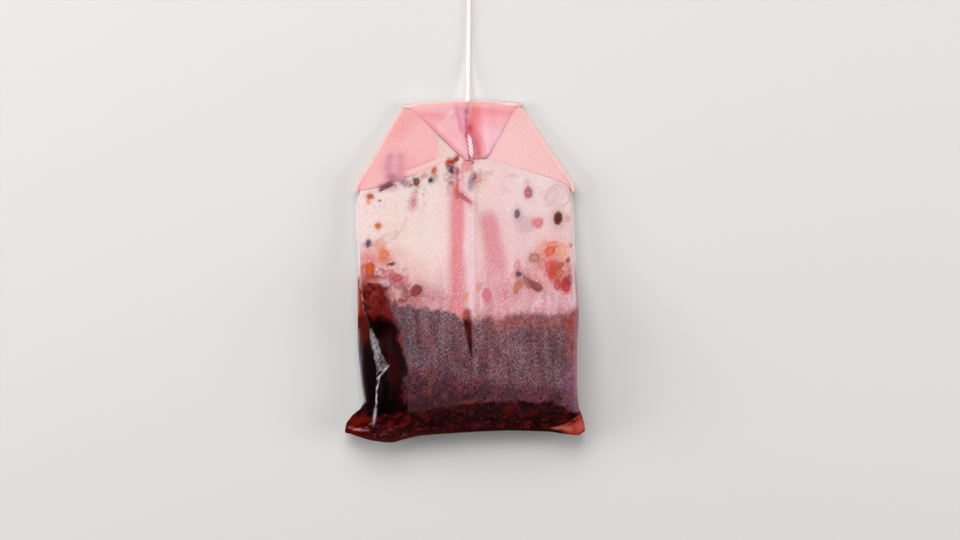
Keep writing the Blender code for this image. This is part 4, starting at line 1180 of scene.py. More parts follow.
# centre, radii, strength
GRIT = [
    ((-11.6, 17.0), (3.2, 1.2), 0.75), ((-9.0, 14.5), (2.4, 3.0), 0.25), ((-2.4, 18.0), (1.6, 2.6), 0.6),
    ((2.4, 17.6), (1.8, 1.8), 0.4), ((-17.6, 11.0), (2.2, 4.0), 0.15), ((-15.0, -1.6), (4.0, 3.0), 0.5),
    ((5.0, 19.0), (2.0, 0.8), 0.25), ((16.4, -1.0), (4.0, 3.5), 0.25), ((-7.0, -6.6), (5.0, 2.0), 0.45),
    ((6.0, -9.2), (5.0, 1.4), 0.35), ((15.0, -8.2), (5.0, 1.2), 0.25),
]
STREAK_LEFT = smooth((14.5, -1.5), (4.0, -1.65), (-8.0, -1.7))
STREAK_RIGHT = smooth((11.4, 4.1), (4.0, 5.6), (-3.0, 6.6))
C_TOP, C_DEEP = (190, 142, 156), (176, 106, 126)
CLUMP_EDGE = smooth((-1.0, -15.4), (-6.0, -14.2), (-9.0, -13.2), (-14.0, -11.8))
SIDE_TOP = smooth((-19.6, -7.0), (-17.6, -7.6), (-15.0, -7.5), (-12.8, -8.6))
# Edges of the painted reflection on the left side.
PATCH_LEFT = smooth((-11.0, -18.5), (-14.0, -18.1), (-17.0, -17.4), (-20.0, -16.7))
PATCH_RIGHT = smooth((-11.0, -17.9), (-13.0, -17.0), (-16.0, -15.9), (-18.2, -15.0), (-20.0, -15.8))
BOTTOM_RIGHT_EAR = smooth((14.6, -31.2), (16.2, -30.6), (18.9, -29.9), (21.4, -28.4), (23.2, -26.6))

print("stains in the empty part:", len(SPOTS) + len(PETALS) + len(STREAKS))


# %% The empty part
def top_paint(ply):
    """The empty part: cream at the left, pink at the right, and two long streaks of juice."""
    x, y = ply.x, ply.y
    blotch = BLOTCHES(x / 4.0, y / 6.0)
    ply.coat(0.6 * past(x, -8, 12) + 0.5 * blotch, (250, 212, 214))
    ply.coat(0.8 * past(x, 8.0, 3.0) * past(y, 3.0, 6.0), (252, 230, 228))
    ply.coat(before(y, 6.0, 9.0) * (0.55 + 0.7 * BLOTCHES(x / 1.8, y / 9.0)), (238, 168, 176))
    ply.coat(0.8 * before(y, -1.0, 5.0) * (0.8 + 0.6 * BLOTCHES(x / 1.3 + 4, y / 7.0)), (220, 148, 158))
    low = before(y, 3.0, 7.0) * past(x, -8.0, 6.0)
    ply.coat(0.5 * low, wet=0.46)
    ply.coat(0.6 * low * past(BLOTCHES(x / 0.8, y / 5.0 + 7), 0.05, 0.2), (250, 222, 230))
    ply.coat(0.6 * low * past(BLOTCHES(x / 0.9 + 9, y / 4.0), 0.10, 0.2), (212, 134, 148))
    ply.coat(0.5 * before(y, 7.0, 5.0) * before(x, -6.0, 8.0), (238, 182, 178))
    ply.spot(0.6, (-6.0, -5.2), (4.0, 1.8), -12, 0.9, (212, 136, 144))
    ply.spot(0.7, (-12.0, 9.5), (5.0, 6.5), 15, 0.9, (252, 228, 222))
    ply.coat(0.35 * past(x, 2.0, 4.0) * before(y, 14.0, 6.0), (238, 186, 194))
    ply.stroke(0.8, [(1.0, 15.5), (1.0, 5.0), (1.2, -9.0)], 0.9, (250, 216, 220))
    aside = (x - STREAK_LEFT(y)) / (1.55 + 0.25 * BLOTCHES(x / 0.9, y / 4.0))
    across = np.abs(aside) ** np.where(aside > 0, 4.5, 2.4)
    ply.coat(0.92 * before(y, 16.6, 2.0) * np.exp(-across), (236, 140, 148))
    width = 1.9 + 0.02 * (11 - y)
    lower = 1 - 0.55 * before(y, 2.0, 6.0)
    across = np.exp(-(((x - STREAK_RIGHT(y)) / width) ** 4))
    ply.coat(0.85 * lower * before(y, 12.2, 2.4) * across, (228, 146, 156))
    ply.coat(0.9 * past(y, 20.6, 1.2) * before(x, 4.0, 2.0), (250, 208, 196))
    ply.coat(0.6 * past(y, 17.4, 2.0), (248, 222, 216))
    under_tip = past(x, -0.6, 0.4) * before(x, 1.45, 0.2) * past(y, 18.3, 2.0)
    ply.coat(0.85 * under_tip, (238, 150, 158))
    ply.stroke(0.7, [(-0.5, 20.6), (-0.45, 17.6)], 0.22, (222, 120, 130))
    ply.stroke(0.6, [(1.45, 21.0), (1.4, 18.6)], 0.14, (216, 122, 136))
    rx, ry = ragged(x, y)
    for centre, radii, turn, colour, strength in SPOTS:
        ply.coat(strength * spot(rx, ry, centre, radii, turn, 0.55), colour)
    nx, ny = ragged(x, y, 0.45, 1.0)
    for centre, radii, turn, colour, rim in PETALS:
        inside = oval(nx, ny, centre, radii, turn)
        core = oval(nx, ny, centre, [max(radius - RIM, 0.1) for radius in radii], turn)
        ply.coat(0.72 * inside, colour, wet=0.95)
        ply.coat(0.7 * (inside - core), rim)
    for route, width, colour, strength in STREAKS:
        ply.coat(strength * stroke(x + 0.3 * CLUMPS(x, y), y, route, width), colour)
    for centre, radii, amount in GRIT:
        grit = past(SPECKS(x / 0.5, y / 0.5), 0.16, 0.12) * spot(x, y, centre, radii, 0.0, 0.8)
        ply.coat(amount * grit, (132, 84, 98))


# %% Paper that clings to tea
def tea_paint(ply):
    """Where the ply clings to tea: hazy in the middle, clear at the left side and the bottom."""
    x, y = ply.x, ply.y
    line = TEA_LINE(x)
    ply.coat(0.7 * before(y, line + 1.8, 2.0) * past(x, -2.0, 5.0), (192, 112, 116), 0.85, 0.4)
    softness = 1.3 + 1.1 * past(x, 3.0, 5.0)
    torn = 0.8 * LUMPS(x / 0.9, y / 0.9) + 0.5 * SPECKS(x / 0.5, y / 0.6)
    tea = ease((line + torn - y) / softness + 0.45)
    ply.coat(tea, C_TOP, 0.33, 0.80)
    ply.coat(tea * 0.6 * ease(BLOTCHES(x / 2.2, y / 2.8) / 0.3), (164, 138, 148), 0.36)
    ply.coat(tea * 0.6 * ease(BLOTCHES(x / 1.8 + 7, y / 2.2) / 0.3), (194, 134, 134), 0.34)
    vein = BLOTCHES(x / 0.7 + 4, y / 4.5 + 0.25 * x)
    ply.coat(tea * 0.5 * ease(vein / 0.3), (204, 166, 178), 0.40)
    ply.coat(tea * 0.5 * ease(-vein / 0.3), (150, 104, 122), 0.31)
    ply.spot(tea * 0.7, (-10.6, -12.6), (2.0, 4.6), 14, 0.8, (138, 126, 140), 0.42)
    ply.coat(0.85 * spot(x + 0.4 * LUMPS(x, y), y, (0.35, -8.9), (0.8, 1.2), 0, 0.8), (172, 74, 36), 0.82)
    band = past(x, 3.0, 4.0) * np.exp(-(((y - line + 0.9 + 1.6 * LUMPS(x / 0.9, y / 1.5)) / 1.2) ** 2))
    ply.coat(0.9 * band, (176, 98, 98), 0.68)
    ply.coat(0.5 * band * ease(SPECKS(x / 0.6, y / 0.9) / 0.2), (206, 132, 130), 0.72)
    depth = -17.0 - 0.14 * (x + 10.0) - y + 2.0 * BLOTCHES(x / 3.0, y / 3.0)
    ply.coat(tea * ease(depth / 3.5), C_DEEP, 0.29)
    ply.coat(tea * past(depth, 3.0, 3.0), (134, 78, 94), 0.30)
    grey = past(depth, 1.0, 3.0) * ease(BLOTCHES(x / 1.9 + 3, y / 2.0) / 0.25)
    ply.coat(tea * 0.6 * grey, (106, 92, 110), 0.26)
    ply.stroke(tea * 0.8, [(-9.9, -7.2), (-9.2, -9.6), (-8.8, -14.2)], 0.32, (112, 44, 38), 0.55)
    ply.stroke(tea * 0.8, [(-8.6, -14.4), (-7.2, -14.5)], 0.2, (196, 116, 74), 0.6)
    ply.coat(0.45 * tea * past(BLOTCHES(x / 1.1, y / 1.1), 0.22, 0.1), (176, 106, 84), 0.4)
    rim = tea * ease((x - 18.0 - 2.2 * BLOTCHES(x, y / 2.5) - LUMPS(x / 0.7, y / 0.9)) / 2.8)
    ply.coat(rim * past(y, -19.5, 4.0), (186, 102, 106), 0.70)
    # Red-orange at the top of the right edge: painted glow of light through the edge.
    ply.coat(0.8 * rim * past(y, -12.5, 3.0), (182, 70, 56), 0.82)
    ply.coat(rim * before(y, -15.5, 4.0), (176, 118, 146), 0.63)
    ply.coat(0.4 * rim * ease(LUMPS(x / 0.6 + 2, y / 0.8) / 0.3), (132, 58, 64), 0.62)
    # A pale line on the very right edge: painted highlight.
    ply.coat(0.5 * tea * ease((x - 20.5 - 0.5 * LUMPS(x, y)) / 0.5), (206, 146, 156), 0.72)


def clump_paint(ply):
    """Loose tea above the line at the left: red lumps and dark gaps under a pink haze."""
    x, y = ply.x, ply.y
    line = TEA_LINE(x)
    patch = 1 - beside(x, y + 1.4 * LUMPS(x, y), CLUMP_EDGE, 2.2)
    patch = patch * ease((-1.6 - y + 2.0 * LUMPS(x / 1.4, y)) / 1.6)
    ply.coat(patch, (120, 25, 22), 0.80, 0.92)
    ply.coat(0.8 * patch * past(CLUMPS(x + 5, y / 0.9), 0.04, 0.35), (138, 44, 36), 0.85)
    ply.coat(0.9 * patch * past(LUMPS(x / 0.8 + 5, y / 0.9), 0.06, 0.3), (54, 7, 8), 0.85)
    ply.coat(0.35 * patch * past(BLOTCHES(x / 0.7, y / 0.6 + 3), 0.10, 0.25), (168, 66, 56), 0.85)
    mixed = before(y, line + 4.6, 1.4) * ease(y - line + 0.5)
    mixed = mixed * (1 - beside(x, y, smooth((2.0, -12.8), (-6.0, -7.4)), 2.5)) * (1 - patch)
    ply.coat(mixed * past(CLUMPS(x / 1.5, y / 1.5 + 4), -0.25, 0.3), (206, 130, 132))
    ply.coat(mixed * past(LUMPS(x / 1.2 + 2, y / 1.2), 0.10, 0.14), (164, 84, 80))
    ply.coat(0.6 * mixed * past(BLOTCHES(x + 2, y / 0.8), 0.20, 0.1), (236, 184, 176))
    ply.coat(0.5 * mixed * past(CLUMPS(x / 0.8 + 6, y / 0.7), 0.12, 0.15), (128, 60, 66), 0.85)


# %% The soaked side, the hem and the ears
def wet_paint(ply):
    """The soaked side and hem: almost black over the tea, darker still as painted shade where the side turns
    from the light, red where light gets through, and a painted reflection and painted highlights on the
    side.
    """
    x, y = ply.x, ply.y
    sway = 1.6 * CLUMPS(x / 3.0 + 2, y / 2.6) + 0.9 * LUMPS(x / 1.1, y / 1.3)
    frayed = sway + 1.2 * SPECKS(x / 0.5, y / 0.8)
    side = 1 - beside(x + frayed, y, lambda v: HAZE_LEFT(v) + 0.3, 1.6)
    side = side * ease((SIDE_TOP(x) - y + sway) / 2.8)
    # The left side is painted almost black, deeper further left: the dark tea under clear wet paper, and
    # painted shade where the side turns from the light.
    ply.coat(side, (32, 2, 3), 0.84, 1.0)
    deep = (1 - beside(x + 1.3 * frayed, y, lambda v: HAZE_LEFT(v) - 1.3, 1.2)) * side
    ply.coat(deep, (12, 1, 2), 0.9, 1.0)
    ply.spot(side * 0.8, (-13.8, -18.5), (1.3, 3.0), 8, 0.9, (58, 12, 9), 0.85)
    ply.coat(deep * 0.5 * past(CLUMPS(x / 1.6, y / 3.0), 0.08, 0.3), (52, 6, 6), 0.85)
    # The opening crease is painted dark red, near black lower down: painted shade in the crease over the
    # dark tea.
    gap = wedge(x, y) * before(y, -8.7 + 1.2 * LUMPS(x / 0.8, y), 1.1)
    ply.coat(gap, (88, 11, 10), 0.90, 1.0)
    ply.coat(gap * before(y, -12.6, 2.0), (24, 3, 4), 0.92)
    torn = 0.9 * LUMPS(x / 0.8, y / 0.8) + 0.8 * CLUMPS(x / 2.4, 0 * y) + 0.6 * SPECKS(x / 0.4, y / 0.4)
    band = 1 - above(x, y + torn, HAZE_LOW, 0.8)
    ply.coat(band, (69, 10, 12), 0.66, 0.18)
    ply.coat(band * past(CLUMPS(x / 1.2, y), 0.02, 0.3), (128, 20, 20), 0.64)
    ply.coat(0.75 * band * past(LUMPS(x / 1.1 + 4, y / 1.1), 0.02, 0.3), (16, 1, 2), 0.74)
    ply.coat(0.35 * band * past(SPECKS(x / 0.45, y / 0.45), 0.26, 0.08), (170, 84, 80), 0.5)
    # Where the left side faces the light, a grey grainy patch with a darker spot is painted: a painted
    # reflection on the wet paper.
    bent = x + 0.35 * LUMPS(x, y / 0.8) + 0.25 * SPECKS(x, y / 0.5)
    shine = ease((bent - PATCH_LEFT(y) + 0.2) / 0.7) * ease((PATCH_RIGHT(y) - bent + 0.1) / 0.6)
    shine = shine * before(y, -11.0, 0.8) * past(y, -19.6, 0.8)
    ply.coat(shine, (158, 147, 154), 0.72, 0.3)
    ply.stroke(0.5 * shine, [(-17.8, -12.4), (-17.2, -15.4), (-16.7, -17.4)], 0.4, (204, 196, 201))
    ply.spot(0.9 * shine, (-15.7, -17.4), (0.9, 1.3), -20, 0.9, (50, 38, 42))
    ply.coat(0.6 * shine * past(SPECKS(x / 0.27 + 5, y / 0.36), -0.02, 0.3), (74, 65, 71))
    ply.coat(0.6 * shine * past(SPECKS(x / 0.25, y / 0.33), 0.05, 0.25), (216, 208, 213), 0.8)
    ply.coat(0.6 * shine * ease((y + 13.0) / 2.0 + CLUMPS(x, y)), (90, 78, 84))
    # Thin broken white lines along the side fold, at its kink and down the front chamber's left edge are
    # painted highlights.
    uneven = 0.35 + 0.65 * past(SPECKS(x / 0.6, y / 0.9), -0.15, 0.3)
    fold = stroke(x + 0.2 * SPECKS(x, y / 0.8), y, SIDE_FOLD, 0.145)
    ply.coat(0.95 * uneven * fold, (244, 236, 241), 0.95, 0.9)
    ply.stroke(0.7 * uneven, [(-15.0, -19.0), (-16.9, -20.9)], 0.15, (224, 216, 220), 0.9)
    ply.stroke(0.4, [(-15.7, -18.0), (-17.0, -20.0)], 0.14, (190, 182, 186), 0.9)
    broken = past(SPECKS(x / 0.35, y / 0.7), -0.12, 0.3)
    ply.stroke(0.8 * broken, [(-20.3, -1.0), (-19.8, -5.0), (-18.9, -9.4)], 0.12, (236, 190, 178), 0.9)
    rim = ease((-30.2 - y - 0.12 * x / 3) / 0.7) * before(np.abs(x), 20.0, 1.0)
    ply.coat(0.8 * rim, (70, 18, 17), 0.85, 0.18)
    ply.coat(0.35 * rim * past(SPECKS(x / 0.6, y / 0.4), 0.2, 0.1), (160, 92, 86), 0.85)


def ear_paint(ply):
    """The two bottom corners. No tea reaches them, so they glow red: the paper's red with painted glow,
    painted highlights along their rims and folds, and painted shade under the right one's upper edge.
    """
    x, y = ply.x, ply.y
    left = before(x, -18.6, 1.0) * before(y, -27.0, 0.8)
    ply.coat(left, (84, 2, 2), 0.95, 1.0)
    # A lighter red oval inside the left ear is painted glow, and the pale lines along its upper rim, its
    # inner fold and its lower rim are painted highlights.
    ply.spot(0.8 * left, (-20.9, -29.2), (1.6, 0.7), 25, 0.8, (140, 30, 20))
    dotted = past(SPECKS(x / 0.45, y / 0.45), -0.05, 0.2)
    top_line = [(-19.5, -26.6), (-21.4, -28.2), (-22.7, -29.3), (-23.2, -30.2)]
    ply.stroke(0.8 * dotted, top_line, 0.16, (206, 130, 120))
    broken = past(SPECKS(x / 0.5, y / 0.5), -0.35, 0.3)
    inner_line = [(-18.0, -29.5), (-18.9, -30.3), (-19.8, -30.6), (-21.4, -30.8)]
    ply.stroke(0.85 * broken, inner_line, 0.11, (246, 186, 168))
    ply.stroke(0.5, [(-22.4, -30.3), (-20.6, -30.9), (-18.6, -30.9)], 0.18, (210, 146, 140))
    right = (1 - above(x, y, BOTTOM_RIGHT_EAR, 0.35)) * past(x, 14.8, 1.2)
    ply.coat(right, (212, 66, 54), 0.95, 0.9)
    # On the right ear: painted shade under its upper edge, painted glow near its tip and lower corner, and a
    # pale painted highlight across its lower part.
    shade = hump(BOTTOM_RIGHT_EAR(x) - 0.5, y, 0.7)
    ply.coat(0.75 * right * shade, (138, 28, 22))
    ply.spot(0.8 * right, (21.2, -28.8), (1.6, 0.9), 40, 0.8, (204, 54, 32))
    ply.spot(0.6 * right, (22.4, -30.0), (0.9, 1.2), 0, 0.8, (236, 122, 112))
    ply.stroke(0.65 * right, [(16.6, -30.9), (18.4, -30.3), (20.4, -30.7)], 0.38, (246, 150, 126))
    ply.coat(0.5 * right * ease(LUMPS(x / 0.7, y / 0.7) / 0.3), (232, 110, 90))
    # A lighter line along the right ear's upper edge: painted highlight.
    edge = hump(y, BOTTOM_RIGHT_EAR(x), 0.16) * past(x, 15.5, 1.5)
    ply.coat(0.4 * edge, (222, 120, 104), 0.95)


def front_paint(x, y):
    """The front ply, from the empty top to the soaked hem."""
    ply = Paint(x, y, srgb(252, 232, 226), 0.93, 0.30)
    top_paint(ply)
    tea_paint(ply)
    clump_paint(ply)
    wet_paint(ply)
    ear_paint(ply)
    return ply


# %% The plies behind it
BACK_GLINT = [(-20.65, -12.0), (-20.6, -14.0), (-20.2, -19.3), (-19.8, -23.1), (-19.4, -26.0)]


def soaked_side(ply, at_left, cover):
    """The left side behind the front: orange with painted glow of light through the thin edge, then brown,
    then almost black going down, with painted highlights along the edge.
    """
    x, y = ply.x, ply.y
    torn = y + 3.0 * CLUMPS(x / 0.6 + 1, y / 2.4) + 1.4 * LUMPS(x / 0.3, y / 1.3)
    # The orange at the top is painted glow of light through the thin soaked edge.
    orange = at_left * before(torn, -1.2, 2.2)
    ply.coat(orange, (170, 50, 20), cover, 0.15)
    ply.coat(0.7 * orange * ease(LUMPS(x / 0.7 + 3, y / 0.9) / 0.3), (108, 22, 12))
    ply.coat(at_left * before(torn, -7.0, 2.6), (92, 18, 10))
    ply.coat(at_left * before(torn, -12.5, 3.0), (22, 3, 3), cover, 0.15)
    # A pale line down the upper edge and a lilac line lower down are painted highlights.
    ply.stroke(0.6, [(-20.8, -3.0), (-20.7, -8.5)], 0.14, (214, 140, 124), 1.0)
    ply.coat(0.8 * stroke(x + 0.1 * SPECKS(x, y), y, BACK_GLINT, 0.19), (186, 166, 180), 1.0, 0.15)


def far_paint(x, y):
    """A ply that lies between the chambers: empty and pale above, soaked below."""
    ply = Paint(x, y, srgb(247, 220, 216), 1.0, 0.15)
    ply.coat(0.5 * BLOTCHES(x / 3.0, y / 8.0) + 0.25, (236, 176, 180))
    ply.coat(0.8 * ease(x / 4.0), (240, 206, 208))
    # Near white along both outer edges above the tea: painted highlight on the rounded edges.
    ply.coat(past(np.abs(x), 19.4, 0.6) * past(y, -1.0, 3.0), (255, 246, 244))
    ply.coat(0.6 * ease((3.0 - y) / 6.0 + BLOTCHES(x / 1.6, y / 4.0)), (222, 150, 158))
    soaked_side(ply, before(x, 3.0, 6.0), 1.0)
    torn = y + 2.0 * CLUMPS(x / 0.6, y / 1.6) + LUMPS(x / 0.3, y)
    tea = ease(x / 6.0) * before(torn, -6.6, 1.6)
    ply.coat(tea, (190, 128, 142), 0.62, 0.15)
    ply.coat(0.7 * tea * ease(BLOTCHES(x / 1.4, y / 2.4) / 0.3), (138, 72, 84), 0.5)
    ply.coat(0.8 * tea * before(torn, -20.0, 5.0), (84, 30, 40), 0.6)
    ears = before(torn, -27.2, 1.6) * past(np.abs(x), 18.2, 1.2)
    ply.coat(ears, (120, 20, 14), 1.0, 0.15)
    ply.coat(0.7 * ears * ease(LUMPS(x / 0.9, y / 1.1) / 0.3), (66, 8, 8))
    return ply


def back_paint(x, y):
    """The ply that the bag lies on."""
    ply = Paint(x, y, srgb(252, 232, 226), 0.93, 0.35)
    ply.coat(0.5 + BLOTCHES(x / 4.0, y / 7.0), (240, 190, 192))
    ply.stroke(0.7, [(-3.0, 24.0), (-4.5, 6.0), (-4.0, -6.0)], 1.6, (228, 150, 158))
    # Near white along both outer edges above the tea: painted highlight on the rounded edges.
    ply.coat(past(np.abs(x), 19.6, 0.6) * past(y, -1.0, 3.0), (255, 246, 244))
    tea = before(y, TEA_LINE(-x) + 0.6, 1.2)
    ply.coat(tea, C_TOP, 0.28, 0.45)
    ply.coat(tea * before(y, -17.0, 5.0), C_DEEP, 0.18)
    edge = ease((np.abs(x) - 18.4 + 1.2 * LUMPS(x, y / 1.5)) / 1.6) * before(y, 1.0, 5.0)
    soaked_side(ply, edge * ease((-x) / 4.0), 0.95)
    ply.coat(edge * ease(x / 4.0), (196, 128, 140), 0.7, 0.15)
    ply.coat(before(y, -26.0, 1.0), (56, 10, 12), 0.4, 1.0)
    ply.coat(past(np.abs(x), 18.8, 1.2) * before(y, -27.0, 1.0), (170, 44, 34), 0.95, 1.0)
    return ply


def fold_paint(x, y):
    """The W between the chambers: dark, as painted shade between them, and red at its two ears."""
    ply = Paint(x, y, srgb(50, 9, 9), 0.98, 0.9)
    ply.coat(before(y, -30.9, 1.0), (84, 28, 26))
    torn = np.abs(x) + 2.0 * CLUMPS(x / 1.6, y / 0.6) + 1.2 * LUMPS(x / 0.7, y / 0.3)
    ears = before(y, -26.6, 2.0) * past(torn, 18.4, 1.4)
    ply.coat(ears * (x < 0), (112, 14, 10), 0.98, 0.15)
    ply.coat(ears * (x > 0), (196, 66, 50), 0.98, 0.15)
    ply.coat(0.6 * ears * ease(BLOTCHES(x / 1.1, y / 1.1) / 0.3), (84, 12, 12))
    return ply


# %% The folded corners and the tip
def corner_paint(x, y, side):
    """A folded corner: several plies, so it hides almost all that is behind it."""
    ply = Paint(x, y, srgb(250, 200, 202) if side > 0 else srgb(249, 190, 192), 0.97, 0.22)
    ply.coat(0.35 + BLOTCHES(x / 5.0, y / 5.0), (251, 208, 208) if side > 0 else (251, 202, 200))
    edge_line = BACK_LEFT(y) - 0.3 if side < 0 else BACK_RIGHT(y) + 0.3
    ply.coat(0.5 * past(y, 28.0, 4.0), (246, 178, 170))
    if side < 0:
        ply.spot(0.55, (-12.4, 27.6), (3.0, 1.6), 50, 0.9, (244, 166, 156))
        bent = x + 0.6 * LUMPS(x, y)
        long_crease = stroke(bent, y, [(-14.6, 22.0), (-15.0, 19.6), (-14.2, 17.4)], 0.8)
        ply.coat(0.75 * long_crease, (208, 142, 168))
        ply.coat(0.65 * stroke(bent, y, [(-12.5, 22.2), (-12.4, 18.6)], 0.6), (224, 138, 156))
        ply.spot(0.7, (-14.1, 18.0), (1.1, 0.6), 0, 0.8, (158, 94, 128))
        ply.stroke(0.6, [(-16.6, 16.2), (-11.4, 18.0)], 0.5, (190, 116, 140))
        ply.stroke(0.9, [(-16.2, 15.9), (-14.3, 17.0)], 0.38, (112, 36, 64))
        ply.spot(0.4, (-13.2, 20.0), (2.6, 2.6), 0, 0.9, (226, 156, 170))
        seam = [(-11.0, 19.6), (-7.6, 20.8), (-5.6, 21.8)]
        ply.stroke(0.7, seam, 0.18, (226, 144, 146))
        ply.stroke(0.7, [(-11.0, 18.7), (-8.0, 20.0), (-5.0, 21.3)], 0.5, (252, 222, 214))
        ply.coat(0.4 * past(x, -5.9, 0.6), (252, 216, 206))
    else:
        ply.spot(0.35, (12.6, 22.2), (0.4, 0.3), 0, 0.5, (200, 120, 130))
        ply.coat(0.4 * ease((21.2 - y - 0.35 * (x - 5)) / -3.0 + 1.0) * past(x, 6, 3), (252, 210, 208))
    # A cream line along the folded outer edge: painted highlight.
    ply.coat(0.7 * hump(x, edge_line, 0.30), (255, 228, 212))
    return ply


def tip_paint(x, y):
    """The folded tip: paler on the left half, a mauve strip by the thread, deeper right."""
    ply = Paint(x, y, srgb(249, 190, 198), 0.98, 0.22)
    edge = strip_edge(y)
    right = ease((x - edge) / 0.25)
    ply.coat(0.6 * before(y, 26.5, 3.0) * (1 - right), (248, 206, 214))
    ply.coat(right, (243, 172, 194))
    ply.coat(right * past(x, 0.3, 0.2), (240, 150, 166))
    # A pale band on the ridge over the hidden thread: painted highlight.
    ply.coat(right * past(x, 0.60, 0.12), (255, 200, 206))
    ply.coat(right * past(x, 0.9, 0.25), (248, 168, 176))
    ply.coat(past(x, 2.6, 1.6) * before(y, 30.6, 2.0), (254, 204, 216))
    ply.spot(0.7, (2.1, 30.6), (0.9, 1.6), -10, 0.8, (250, 140, 136))
    ply.spot(0.85, (1.3, 27.6), (1.0, 2.4), -16, 0.9, (246, 130, 134))
    ply.spot(0.8, (0.9, 27.6), (0.5, 0.7), 0, 0.8, (226, 84, 100))
    ply.spot(0.75, (2.2, 24.4), (0.9, 2.4), 14, 0.9, (226, 112, 124))
    ply.spot(0.4, (2.6, 22.6), (0.45, 0.35), 0, 0.8, (176, 106, 106))
    ply.stroke(0.6, [(1.8, 21.5), (4.0, 21.8)], 0.35, (196, 132, 146))
    ply.stroke(0.5, [(2.4, 27.0), (3.8, 24.4), (4.0, 22.0)], 0.22, (232, 140, 160))
    ply.stroke(0.5, [(3.0, 28.8), (8.4, 28.3)], 1.2, (246, 172, 174))
    # A dark pink line beside that ridge: painted shadow.
    ply.stroke(0.9, [(0.22, 32.6), (0.28, 27.2)], 0.15, (206, 92, 124))
    ply.stroke(0.85, [(0.1, 26.2), (0.5, 25.0), (0.72, 23.6), (0.84, 21.4)], 0.17, (206, 86, 112))
    ply.coat(0.55 * hump(x, edge, 0.16) * past(y, 26.2, 0.4), (212, 118, 150))
    left_edge = hump(x - TIP_LEFT(y), 0.4, 0.7) * before(y, 30.6, 2.0)
    ply.coat(0.6 * left_edge, (238, 142, 154))
    ply.coat(0.5 * hump(x, TIP_LEFT(y), 0.16), (232, 136, 150))
    ply.coat(0.45 * hump(x, TIP_RIGHT(y), 0.16), (222, 152, 176))
    ply.stroke(0.55, [(-4.2, 28.0), (-2.1, 30.7)], 0.22, (226, 132, 152))
    ply.stroke(0.5, [(-4.6, 27.4), (-2.6, 30.6)], 0.7, (252, 214, 222))
    ply.stroke(0.6, [(-9.0, 30.2), (-4.8, 29.6)], 1.0, (245, 158, 158))
    # Towards the top the tip is painted a lighter salmon: the paper's warm tone and painted light on the
    # rounded fold. A white line along its top is a painted highlight.
    top = y + 0.0080 * x * x
    ply.coat(0.6 * past(top, 31.4, 0.6), (255, 200, 196))
    ply.coat(0.95 * past(top, 32.65, 0.2) * (1 - 0.6 * past(top, 32.95, 0.1)), (255, 244, 236))
    return ply

# %% [markdown]
# ## Pieces that stick to the paper
#
# Seeds, peel, petals and stalks cling to the inside of the wet paper above the tea. Where
# one touches the paper, the paper goes clear and shows it sharply. Each has a size, a turn,
# a colour and a kind, and the paper's stains read the same list.

# %% The pieces, by name
# kind, turn in degrees, colour, how much the paper clears over it, and its rim's colour
FRUIT = {
    "stalk_maroon": ("stick", 27, (96, 24, 44), 0.95, (70, 12, 30)),
    "seed_brown_oval": ("seed", 80, (150, 78, 46), 0.85, (96, 44, 30)),
    "petal_orange_top": ("petal", 75, (226, 116, 78), 0.85, (200, 90, 50)),
    "seed_black_top": ("seed", 0, (70, 55, 66), 0.80, (60, 40, 52)),
    "shred_red_top": ("shred", 20, (196, 70, 22), 0.95, (150, 40, 20)),
    "shred_purple_top": ("shred", 60, (120, 66, 84), 0.85, (80, 30, 50)),
    "stalk_red": ("stick", -42, (200, 104, 126), 0.70, (184, 84, 108)),
    "petal_smudge": ("petal", 70, (218, 142, 144), 0.28, (212, 132, 138)),
    "peel_ring": ("ring", 0, (214, 110, 62), 0.80, (176, 70, 40)),
    "shred_orange_left": ("shred", 0, (226, 128, 62), 0.90, (206, 100, 50)),
    "petal_arrow": ("arrow", 85, (196, 92, 118), 0.60, (170, 66, 96)),
    "seed_grey": ("seed", 80, (122, 104, 128), 0.75, (80, 40, 72)),
    "seed_round_brown": ("seed", 80, (92, 34, 26), 0.95, (140, 84, 64)),
    "petal_square": ("petal", 10, (238, 160, 156), 0.80, (224, 130, 132)),
    "leaf_faint": ("petal", 60, (240, 216, 214), 0.35, (222, 160, 166)),
    "shred_violet": ("shred", 85, (112, 84, 112), 0.80, (90, 60, 90)),
    "petal_outline_left": ("petal", 30, (240, 216, 210), 0.35, (214, 150, 150)),
    "peel_pink_left": ("petal", 20, (240, 150, 112), 0.70, (228, 120, 84)),
    "shred_dark_left": ("shred", 10, (104, 66, 84), 0.85, (80, 44, 60)),
    "peel_orange_left": ("petal", 85, (226, 106, 44), 0.92, (196, 74, 34)),
    "clump_red_left": ("shred", 15, (204, 96, 96), 0.45, (160, 60, 72)),
    "clump_brown_left": ("shred", 50, (156, 74, 62), 0.80, (120, 50, 50)),
    "drop_pink": ("petal", 85, (232, 140, 152), 0.32, (218, 114, 130)),
    "seed_blue_grey": ("seed", 0, (92, 92, 112), 0.90, (70, 64, 84)),
    "leaf_tan": ("petal", 70, (216, 140, 118), 0.80, (196, 112, 96)),
    "wing_brown": ("wing", -40, (160, 88, 88), 0.60, (130, 62, 68)),
    "berry_tan": ("seed", 0, (202, 150, 128), 0.80, (190, 116, 110)),
    "peel_orange_right": ("petal", 30, (232, 124, 92), 0.80, (224, 96, 80)),
    "shred_red_right": ("shred", 88, (210, 74, 64), 0.50, (218, 100, 92)),
    "shred_dark_right": ("shred", 80, (200, 66, 60), 0.50, (170, 56, 62)),
    "seed_brown_right": ("seed", 40, (206, 114, 72), 0.80, (196, 90, 70)),
}


def centre_and_size(name):
    low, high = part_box(name)
    return (low + high) / 2 / MM, (high - low) / MM


